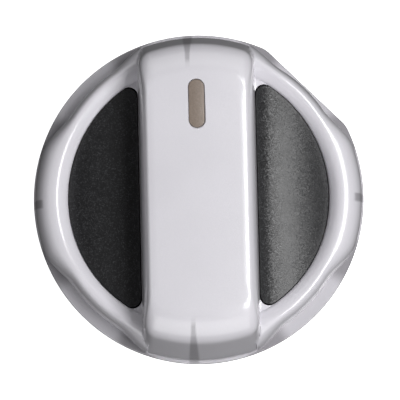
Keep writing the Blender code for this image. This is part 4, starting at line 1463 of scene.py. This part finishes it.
@dataclass
class Knob:
    """Grip knob: pearl shell with a bar, dark inlays, pointer, hub and clip."""

    radius: float = 33.0
    height: float = 21.5
    skirt_h: float = 2.8
    skirt_edge: float = 0.35
    flat_depth: float = 1.9
    flat_deg: float = 45.0
    facet_depth: float = 2.1
    facet_from: float = 28.0
    facet_to: float = 11.0
    inlay_r: float = 25.95
    crown_out: float = 2.45
    crown_rise: float = 2.0
    crown_rise_end: float = 0.8
    crown_share: float = 0.62
    inlay_h: float = 10.0
    inlay_drop: float = 3.2
    lip: float = 0.12
    lip_roll: float = 0.16
    lip_drop: float = 0.28
    floor: float = 4.6
    meet_side: float = 0.22
    meet_end: float = 3.0
    bar_half: float = 11.6
    bar_draft: float = 0.06
    bar_end_draft: float = 4.6
    bar_corner: float = 3.0
    edge_side: float = 1.5
    edge_end: float = 5.2
    edge_h: float = 5.0
    top_crown: float = 0.45
    hollow_r: float = 29.3
    hollow_h: float = 2.6
    mouth_r: float = 9.15
    socket_r: float = 8.0
    pocket_half: float = 7.91
    pocket_near: float = 10.0
    pocket_far: float = 20.0
    pointer_half: float = 1.6
    pointer_l: float = 9.6
    pointer_y: float = 17.1
    pointer_depth: float = 1.2
    pointer_sink: float = 0.16
    pointer_crown: float = 0.45
    corner_r: float = 1.8
    fit: float = 0.15
    # painted dark reflection: a stripe down each end of the bar, placed and darkened by these values
    end_shade_x: float = -1.6
    end_shade_dark: float = 0.6
    end_shade_span: Flat = (24.6, 26.2)
    side_shade_y: float = -0.7
    # painted dark reflection: a short stripe at each side of the skirt, placed and darkened by these values
    side_shade_half: float = 0.8
    side_shade_dark: float = 0.7
    side_shade_span: Flat = (30.6, 31.3)
    hub_r: float = 6.8
    hub_step_r: float = 7.7
    hub_step: float = 3.5
    bore_r: float = 4.2
    bore_flat: float = 3.2
    clip_in: float = 7.1
    clip_out: float = 7.7
    clip_open: float = 35.0
    base: float = field(init=False, default=0.0)

    def __post_init__(self) -> None:
        """Take the knob's height above the panel from the frame."""
        self.base = span("knob_shell")[0].z

    def build(self) -> None:
        """Make the shell, inlays, pointer, hub and clip."""
        self.shell()
        for side, tag in ((-1, "left"), (1, "right")):
            self.inlay(side, tag)
        self.pointer()
        self.hub()

    # outlines, whose heights are in millimetres above the knob's base

    def inlay_height(self, x: float) -> float:
        """Height of the inlay face at a distance from the bar's middle line."""
        share = max(0.0, abs(x) - self.bar_half) / (self.inlay_r - self.bar_half)
        return self.inlay_h - self.inlay_drop * share ** 2

    def skirt_r(self, turn: float) -> float:
        """Radius of the skirt: round, with one flat whose ends are softened."""
        lean = max(math.cos(math.radians(turn - self.flat_deg)), 0.1)
        return smooth_min(self.radius, (self.radius - self.flat_depth) / lean, 0.35)

    def facet_r(self, turn: float) -> float:
        """Radius of the body above the skirt, cut back round each diagonal.

        Args:
            turn: direction in degrees from +X.

        Returns:
            The radius.
        """
        off = abs((turn % 90.0) - 45.0)
        cut = self.facet_depth * smooth_step(self.facet_from, self.facet_to, off)
        return min(self.radius - cut, self.skirt_r(turn)) - self.skirt_edge

    def bar_r(self, turn: float, half: float, end: float, corner: float) -> float:
        """Distance from the axis to the bar's rounded outline along a ray.

        Args:
            turn: direction of the ray in degrees from +X.
            half: half the bar's width.
            end: radius of its ends.
            corner: radius of its corners.

        Returns:
            The distance.
        """
        c, s = abs(math.cos(math.radians(turn))), abs(math.sin(math.radians(turn)))
        cx = half - corner
        cy = math.sqrt((end - corner) ** 2 - cx ** 2)
        if s * half <= c * cy:
            return half / c
        if s * cx >= c * cy:
            return end
        along = cx * c + cy * s
        return along + math.sqrt(along * along - (cx * cx + cy * cy - corner * corner))

    def wall_r(self, turn: float, z: float) -> float:
        """Distance from the axis to the bar's wall.

        Args:
            turn: direction in degrees from +X.
            z: height on the wall.

        Returns:
            The distance.
        """
        foot = self.skirt_h - self.skirt_edge
        share = (z - foot) / (self.height - foot)
        half = self.bar_half - self.bar_draft * (z - self.inlay_h)
        end = self.radius - self.skirt_edge / 2 - self.bar_end_draft * share
        return self.bar_r(turn, half, end, self.bar_corner)

    def ring_curve(self, turn: float, share: float) -> Flat:
        """Follow the ring from the skirt over the crown to the inlay's edge.

        Args:
            turn: direction in degrees from +X.
            share: how far along, from 0 at the skirt to 1 at the inlay's edge.

        Returns:
            The radius and height there.
        """
        crown_r = self.inlay_r + self.crown_out
        side = math.cos(math.radians(turn)) ** 2
        lip = self.inlay_height(self.inlay_r * math.cos(math.radians(turn))) + self.lip
        crown_z = lip + self.crown_rise_end + (self.crown_rise - self.crown_rise_end) * side
        if share <= self.crown_share:
            bend = math.pi / 2 * share / self.crown_share
            r = crown_r + (self.facet_r(turn) - crown_r) * math.cos(bend) ** 0.9
            return r, self.skirt_h + (crown_z - self.skirt_h) * math.sin(bend)
        t = (share - self.crown_share) / (1 - self.crown_share)
        z = crown_z - (crown_z - lip) * (1 - math.cos(math.pi / 2 * t))
        edge = max(0.0, t - (1 - self.lip_roll)) / self.lip_roll
        return crown_r - self.crown_out * t, z - self.lip_drop * (1 - math.sqrt(max(0.0, 1 - edge * edge)))

    def column(self, turn: float) -> list[Flat]:
        """One line of the skin, from the top of the socket round the skirt to the top of the bar.

        Args:
            turn: its direction in degrees from +X.

        Returns:
            Its (radius, height) points.
        """
        clip_z = span("shaft_circlip")[0].z + GAP - self.base
        socket_top = span("knob_hub")[1].z + GAP - self.base
        skirt, facet = self.skirt_r(turn), self.facet_r(turn)
        edge = self.skirt_edge
        line = [(self.socket_r * 0.5, socket_top), (self.socket_r, socket_top), (self.socket_r, clip_z)]
        line += [(self.mouth_r, clip_z), (self.mouth_r, self.hollow_h), (self.hollow_r, self.hollow_h)]
        line += [(self.hollow_r, 0.2), (self.hollow_r + 0.2, 0.0), (skirt - edge, 0.0)]
        line += [(skirt - 0.3 * edge, 0.3 * edge), (skirt, edge), (skirt, self.skirt_h - edge)]
        line += [(skirt - 0.25 * edge, self.skirt_h - 0.3 * edge), (skirt - 0.7 * edge, self.skirt_h)]
        line += [(min(skirt - 0.75 * edge, facet + 0.12), self.skirt_h)]
        return line + self.rise(turn)

    def rise(self, turn: float) -> list[Flat]:
        """The line from the skirt's ledge to the middle of the bar's top, eased where ring meets bar.

        Args:
            turn: its direction in degrees from +X.

        Returns:
            Its (radius, height) points.
        """
        rows, land_rows, wall_rows, edge_rows, top_rows = 30, 4, 16, 8, 7
        tries, pole = 400, 0.5
        meet = 1.0
        for i in range(1, tries + 1):
            r, z = self.ring_curve(turn, i / tries)
            if r <= self.wall_r(turn, z):
                meet = (i - 0.5) / tries
                break
        ring = [self.ring_curve(turn, meet * k / rows) for k in range(rows + 1)]
        r0, z0 = ring[-1]
        wall0 = self.wall_r(turn, z0)
        if r0 > wall0 + 1e-6:
            for k in range(1, land_rows + 1):
                r = r0 + (wall0 - r0) * k / land_rows
                z = self.inlay_height(r * math.cos(math.radians(turn))) + self.lip - self.lip_drop
                ring.append((r, z))
            ring[-1] = (self.wall_r(turn, ring[-1][1]), ring[-1][1])
        else:
            ring += [ring[-1]] * land_rows
        seam = len(ring) - 1
        foot = ring[-1][1]
        shoulder = self.height - self.edge_h
        line = list(ring)
        for k in range(1, wall_rows + 1):
            z = foot + (shoulder - foot) * (k / wall_rows) ** 1.5
            line.append((self.wall_r(turn, z), z))
        foot_z = self.skirt_h - self.skirt_edge
        for k in range(1, edge_rows + 1):
            a = math.pi / 2 * k / edge_rows
            z = shoulder + self.edge_h * math.sin(a)
            share = (z - foot_z) / (self.height - foot_z)
            half = self.bar_half - self.bar_draft * (z - self.inlay_h) - self.edge_side * (1 - math.cos(a))
            end = self.radius - self.skirt_edge / 2 - self.bar_end_draft * share
            end -= self.edge_end * (1 - math.cos(a))
            line.append((self.bar_r(turn, half, end, self.bar_corner), z))
        brim = line[-1][0]
        for k in range(1, top_rows + 1):
            line.append((brim * (1 - k / top_rows) + pole * k / top_rows, self.height))
        c, s = math.cos(math.radians(turn)), math.sin(math.radians(turn))
        towards_end = smooth_step(64.0, 74.0, math.degrees(math.asin(abs(s))))
        out = []
        for r, z in self.eased(line, seam, self.meet_side + self.meet_end * towards_end):
            dip = self.top_crown * ((r * c / 10.0) ** 2 * 0.8 + (r * s / 26.0) ** 2) if z > shoulder else 0.0
            out.append((r, z - dip * smooth_step(shoulder, self.height, z)))
        return out

    @staticmethod
    def eased(line: list[Flat], seam: int, reach: float) -> list[Flat]:
        """Round the inner corner of a line at one of its points.

        Args:
            line: the points.
            seam: index of the corner.
            reach: how far along the line on either side the rounding starts.

        Returns:
            The points of the rounded line.
        """
        run = [0.0]
        for a, b in zip(line, line[1:]):
            run.append(run[-1] + math.dist(a, b))
        here = run[seam]

        def at(length: float) -> Vector:
            """Find a place on the line.

            Args:
                length: how far along the line it is.

            Returns:
                The place.
            """
            for k in range(1, len(run)):
                if run[k] >= length:
                    share = (length - run[k - 1]) / max(run[k] - run[k - 1], 1e-9)
                    return Vector(line[k - 1]).lerp(Vector(line[k]), share)
            return Vector(line[-1])

        low, high, corner = at(here - reach), at(here + reach), Vector(line[seam])
        out = []
        for spot, length in zip(line, run):
            if abs(length - here) < reach:
                t = (length - here + reach) / (2 * reach)
                spot = tuple(low * (1 - t) ** 2 + corner * (2 * t * (1 - t)) + high * t ** 2)
            out.append(spot)
        return out

    def turns(self) -> list[float]:
        """Angles of the shell's columns: closer together by the bar's corners and the flow lines.

        Returns:
            The angles in degrees from +X.
        """
        wide, close = 1.0, 0.4
        out, turn = [], 0.0
        while turn < 360.0 - 1e-6:
            out.append(turn)
            off, half_turn = turn % 90.0, turn % 180.0
            by_seam = off < 6.0 or off > 84.0
            by_corner = 58.0 <= half_turn <= 76.0 or 104.0 <= half_turn <= 122.0
            turn = round(turn + (close if by_seam or by_corner else wide), 6)
        return out

    def d_outline(self, side: int, trim: float, chord: float) -> list[Flat]:
        """Outline of an inlay: a chord by the bar, an arc by the ring, rounded corners.

        Args:
            side: -1 on the left, 1 on the right.
            trim: how much smaller its arc is than the recess.
            chord: distance of its straight side from the bar's middle line.

        Returns:
            The outline.
        """
        radius, corner = self.inlay_r - trim, self.corner_r
        cx = chord + corner
        cy = math.sqrt((radius - corner) ** 2 - cx ** 2)
        turn = math.degrees(math.atan2(cy, cx))
        upper = arc(corner, turn, 180, 14, (cx, cy))
        lower = [(x, -y) for x, y in reversed(upper)]
        sweep = arc(radius, -turn, turn, 90)[1:-1]
        return [(side * x, y) for x, y in lower + sweep + upper]

    def stadium(self, trim: float) -> list[Flat]:
        """Outline of the pointer's slot."""
        r, reach = self.pointer_half - trim, self.pointer_l / 2 - self.pointer_half
        return (arc(r, 0, 180, 20, (0.0, self.pointer_y + reach))
                + arc(r, 180, 360, 20, (0.0, self.pointer_y - reach)))

    def painted_shade(self, place: Vector) -> float:
        """Painted shade: darkness of the painted dark reflections down the bar's ends and at the sides, and
        of the painted shade on the ledge and its ends.

        Args:
            place: where on the shell, in millimetres from the frame's origin.

        Returns:
            The darkness, from 0 to 1.
        """
        x, y, z = place.x, place.y, place.z - self.base
        radius = math.hypot(x, y)
        turn = math.degrees(math.atan2(y, x)) % 360.0
        dark = 0.0
        # painted dark reflections down the bar's ends, then at the sides
        if z > 0.5 and abs(y) > 20:
            width = 0.40 + 0.55 * smooth_step(26.0, 33.0, radius)
            line = smooth_step(1.3, 0.8, abs(x - self.end_shade_x) / width)
            dark = self.end_shade_dark * line * smooth_step(*self.end_shade_span, radius)
        if z > 0.5 and abs(x) > 20 and radius > 30.4:
            line = smooth_step(1.25, 0.8, abs(y - self.side_shade_y) / self.side_shade_half)
            dark = max(dark, self.side_shade_dark * line * smooth_step(*self.side_shade_span, radius))
        # painted shade on the ledge between skirt and body, darkest towards the ends of each lobe
        off = abs((turn % 90.0) - 45.0)
        ledge = smooth_step(-0.15, 0.05, radius - self.facet_r(turn))
        if z > 2.0:
            ends = smooth_step(11.0, 17.0, off) * smooth_step(31.0, 27.0, off)
            dark = max(dark, ledge * (0.3 + 0.6 * ends))
        return dark

    def shell(self) -> None:
        """The pearl shell: one skin for ring, bar and hollow, then the recesses, slot and pockets."""
        turns = self.turns()
        columns = [self.column(turn) for turn in turns]
        rays = [(math.cos(math.radians(turn)), math.sin(math.radians(turn))) for turn in turns]

        def place(row: int, i: int) -> Point:
            """The place of a column's point."""
            r, z = columns[i][row]
            return r * rays[i][0], r * rays[i][1], self.base + z

        body = skin(len(turns), len(columns[0]), place)
        bmesh.ops.remove_doubles(body, verts=list(body.verts), dist=1e-4)
        base, top = self.base, self.base + self.height
        cuts = []
        for side in (-1, 1):
            cuts.append(prism(self.d_outline(side, 0.0, self.bar_half - 0.03), base + self.floor, top + 1))
            ys = sorted((side * self.pocket_near, side * self.pocket_far))
            corners = box_points((-self.pocket_half, ys[0]), (self.pocket_half, ys[1]))
            cuts.append(prism(fillet(corners, 1.0), base + self.hollow_h - 0.5, top - 3.0))
        slot = [self.stadium(0.0), self.stadium(0.0), self.stadium(-0.14), self.stadium(-0.6)]
        surface = top - self.top_crown * self.pointer_crown
        heights = [top - self.pointer_depth, surface - self.pointer_sink, surface + 0.02, surface + 0.6]
        cuts.append(tapered(slot, heights))
        body = work(body, gather(cuts), Cut.REMOVE)
        obj = settle("knob_pearl_shell", body, PEARL, "knob", ["knob_shell"], smooth=28.0)
        # painted shade: each vertex gets the darkness of the painted reflections and crease shade
        layer = obj.data.attributes.new("painted_shade", "FLOAT", "POINT")
        for vert, value in zip(obj.data.vertices, layer.data):
            value.value = self.painted_shade(vert.co / MM)

    def inlay(self, side: int, tag: str) -> None:
        """Dark grip inlay with a face that falls towards the ring and a softened rim.

        Args:
            side: -1 on the left, 1 on the right.
            tag: the side's name.
        """
        low = span(f"grip_inlay_{tag}")[0].z
        level = self.base + self.inlay_h + 2
        plate = prism(self.d_outline(side, self.fit, self.bar_half + self.fit), low, level)
        strip = 0.25
        for k in range(1, 60):
            x = side * (self.bar_half + strip * k)
            bmesh.ops.bisect_plane(plate, geom=list(plate.verts) + list(plate.edges) + list(plate.faces),
                                   plane_co=(x, 0, 0), plane_no=(1, 0, 0))
        for vert in plate.verts:
            if vert.co.z > level - 0.1:
                vert.co.z = self.base + self.inlay_height(vert.co.x)
        ease(plate, 0.22, 60.0, 3, keep=lambda e: min(v.co.z for v in e.verts) > low + 0.1
             and abs(e.verts[0].co.z - e.verts[1].co.z) < 1.0)
        settle(f"grip_plate_{tag}", plate, ANTHRACITE, "knob", [f"grip_inlay_{tag}"])

    def pointer(self) -> None:
        """Painted pointer, just below the bar's top."""
        low = span("pointer_inlay")[0].z
        high = self.base + self.height - self.top_crown * self.pointer_crown - self.pointer_sink
        rows = [self.stadium(0.1), self.stadium(0.1), self.stadium(0.14), self.stadium(0.24)]
        settle("pointer_plate", tapered(rows, [low, high - 0.12, high - 0.03, high]), POINTER, "knob",
               ["pointer_inlay"])

    def hub(self) -> None:
        """Split nylon hub with a step and a D-shaped bore, and the clip round it."""
        low, high = span("knob_hub")
        step = high.z - self.hub_step
        body = solid([(self.hub_r, low.z), (self.hub_r, step), (self.hub_step_r, step),
                      (self.hub_step_r, high.z)], 0.3, 72)
        cut = math.degrees(math.acos(self.bore_flat / self.bore_r))
        bore = arc(self.bore_r, 90 + cut, 450 - cut, 40)
        body = work(body, prism(bore, low.z - 1, high.z + 1), Cut.REMOVE)
        split = prism(box_points((-0.5, -9.0), (0.5, -3.0)), low.z - 1, low.z + 5.0)
        body = work(body, split, Cut.REMOVE)
        settle("hub_insert", body, NYLON, "knob", ["knob_hub"])
        low, high = span("knob_clip")
        start, end, steps = 270.0 + self.clip_open, 630.0 - self.clip_open, 56
        line = arc(self.clip_out, start, end, steps) + arc(self.clip_in, end, start, steps)
        clip = ease(prism(line, low.z, high.z), 0.1, 50.0, 2)
        settle("hub_clip", clip, SPRING_STEEL, "knob", ["knob_clip"])


# ------------------------------------------------------------------ the studio


@dataclass
class Studio:
    """Floor, soft lights and camera, in metres."""

    target: Point = (0.00025, -0.0008, 0.0585)
    elevation: float = 85.4
    roll: float = 1.3
    lens: float = 240.0
    distance: float = 0.5263
    ambient: float = 0.032
    floor_half: float = 4.0
    floor_drop: float = 0.0004
    floor_tone: Colour = (0.93, 0.93, 0.93)
    floor_glow: float = 0.9
    panel_at: float = 0.9

    def build(self) -> None:
        """Make the floor, the world, the lights and the camera."""
        self.floor()
        self.world()
        self.lights()
        self.camera()

    def floor(self) -> None:
        """A plain pale floor under the rim, which lights nothing and shows in no gloss."""
        bm = bmesh.new()
        bmesh.ops.create_grid(bm, x_segments=2, y_segments=2, size=self.floor_half)
        mesh = bpy.data.meshes.new("floor")
        bm.to_mesh(mesh)
        bm.free()
        paper = bpy.data.materials.new("white_paper")
        paper.use_nodes = True
        shader = paper.node_tree.nodes["Principled BSDF"]
        shader.inputs["Base Color"].default_value = rgba(self.floor_tone)
        shader.inputs["Roughness"].default_value = 0.85
        shader.inputs["Emission Color"].default_value = (1.0, 1.0, 1.0, 1.0)
        shader.inputs["Emission Strength"].default_value = self.floor_glow
        mesh.materials.append(paper)
        obj = bpy.data.objects.new("floor", mesh)
        obj.location.z = -self.floor_drop
        obj.visible_glossy = False
        obj.visible_diffuse = False
        bpy.context.scene.collection.objects.link(obj)

    def world(self) -> None:
        """A dim even surround that the camera sees as a white backdrop."""
        world = bpy.data.worlds.new("surround")
        world.use_nodes = True
        graph = Graph(world.node_tree)
        back = world.node_tree.nodes["Background"]
        back.inputs["Color"].default_value = (1.0, 1.0, 1.0, 1.0)
        seen = graph.add("LightPath").outputs["Is Camera Ray"]
        level = graph.spread(seen, 0.0, 1.0, self.ambient, 1.0)
        world.node_tree.links.new(level, back.inputs["Strength"])
        bpy.context.scene.world = world
        bpy.context.scene.view_settings.view_transform = "Standard"

    def panel(self, name: str, azimuth: float, elevation: float, size: Flat, radiance: float) -> None:
        """One soft panel that faces the knob.

        Args:
            name: its name.
            azimuth: direction from the knob in degrees from +X, anticlockwise.
            elevation: height above the horizon in degrees.
            size: width and height in metres.
            radiance: brightness of its face.
        """
        light = bpy.data.lights.new(name, "AREA")
        light.shape = "RECTANGLE"
        light.size, light.size_y = size
        light.energy = radiance * size[0] * size[1] * math.pi
        obj = bpy.data.objects.new(name, light)
        a, e = math.radians(azimuth), math.radians(elevation)
        away = Vector((math.cos(a) * math.cos(e), math.sin(a) * math.cos(e), math.sin(e)))
        obj.location = Vector(self.target) + away * self.panel_at
        obj.rotation_mode = "QUATERNION"
        obj.rotation_quaternion = away.to_track_quat("Z", "Y")
        obj.visible_camera = False
        bpy.context.scene.collection.objects.link(obj)

    def lights(self) -> None:
        """A key high on the right, a weak fill on the left, and a low panel in front and behind."""
        self.panel("key", 0.0, 60.0, (0.80, 0.34), 8.5)
        self.panel("fill", 180.0, 50.0, (0.8, 0.3), 0.35)
        self.panel("front", 270.0, 27.0, (1.3, 0.7), 1.5)
        self.panel("back", 90.0, 27.0, (1.3, 0.7), 0.9)

    def camera(self) -> None:
        """A long lens almost square to the knob's face."""
        data = bpy.data.cameras.new("camera")
        data.lens = self.lens
        data.clip_start = 0.01
        obj = bpy.data.objects.new("camera", data)
        e = math.radians(self.elevation)
        back = Vector((0.0, -math.cos(e), math.sin(e)))
        obj.location = Vector(self.target) + back * self.distance
        obj.rotation_mode = "QUATERNION"
        rolled = Quaternion((0, 0, 1), math.radians(-self.roll))
        obj.rotation_quaternion = (-back).to_track_quat("-Z", "Y") @ rolled
        bpy.context.scene.collection.objects.link(obj)
        bpy.context.scene.camera = obj


def main() -> None:
    """Build every sub-assembly in order, then the studio."""
    logging.basicConfig(level=logging.INFO, format="%(message)s", stream=sys.stdout)
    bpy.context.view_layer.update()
    layout = Layout()
    Studio().build()
    terminals = (Terminal(-1, layout), Terminal(1, layout))
    for part in (Case(layout), Deck(layout), *terminals, ShaftTrain(layout), Knob()):
        part.build()


if __name__ == "__main__":
    main()
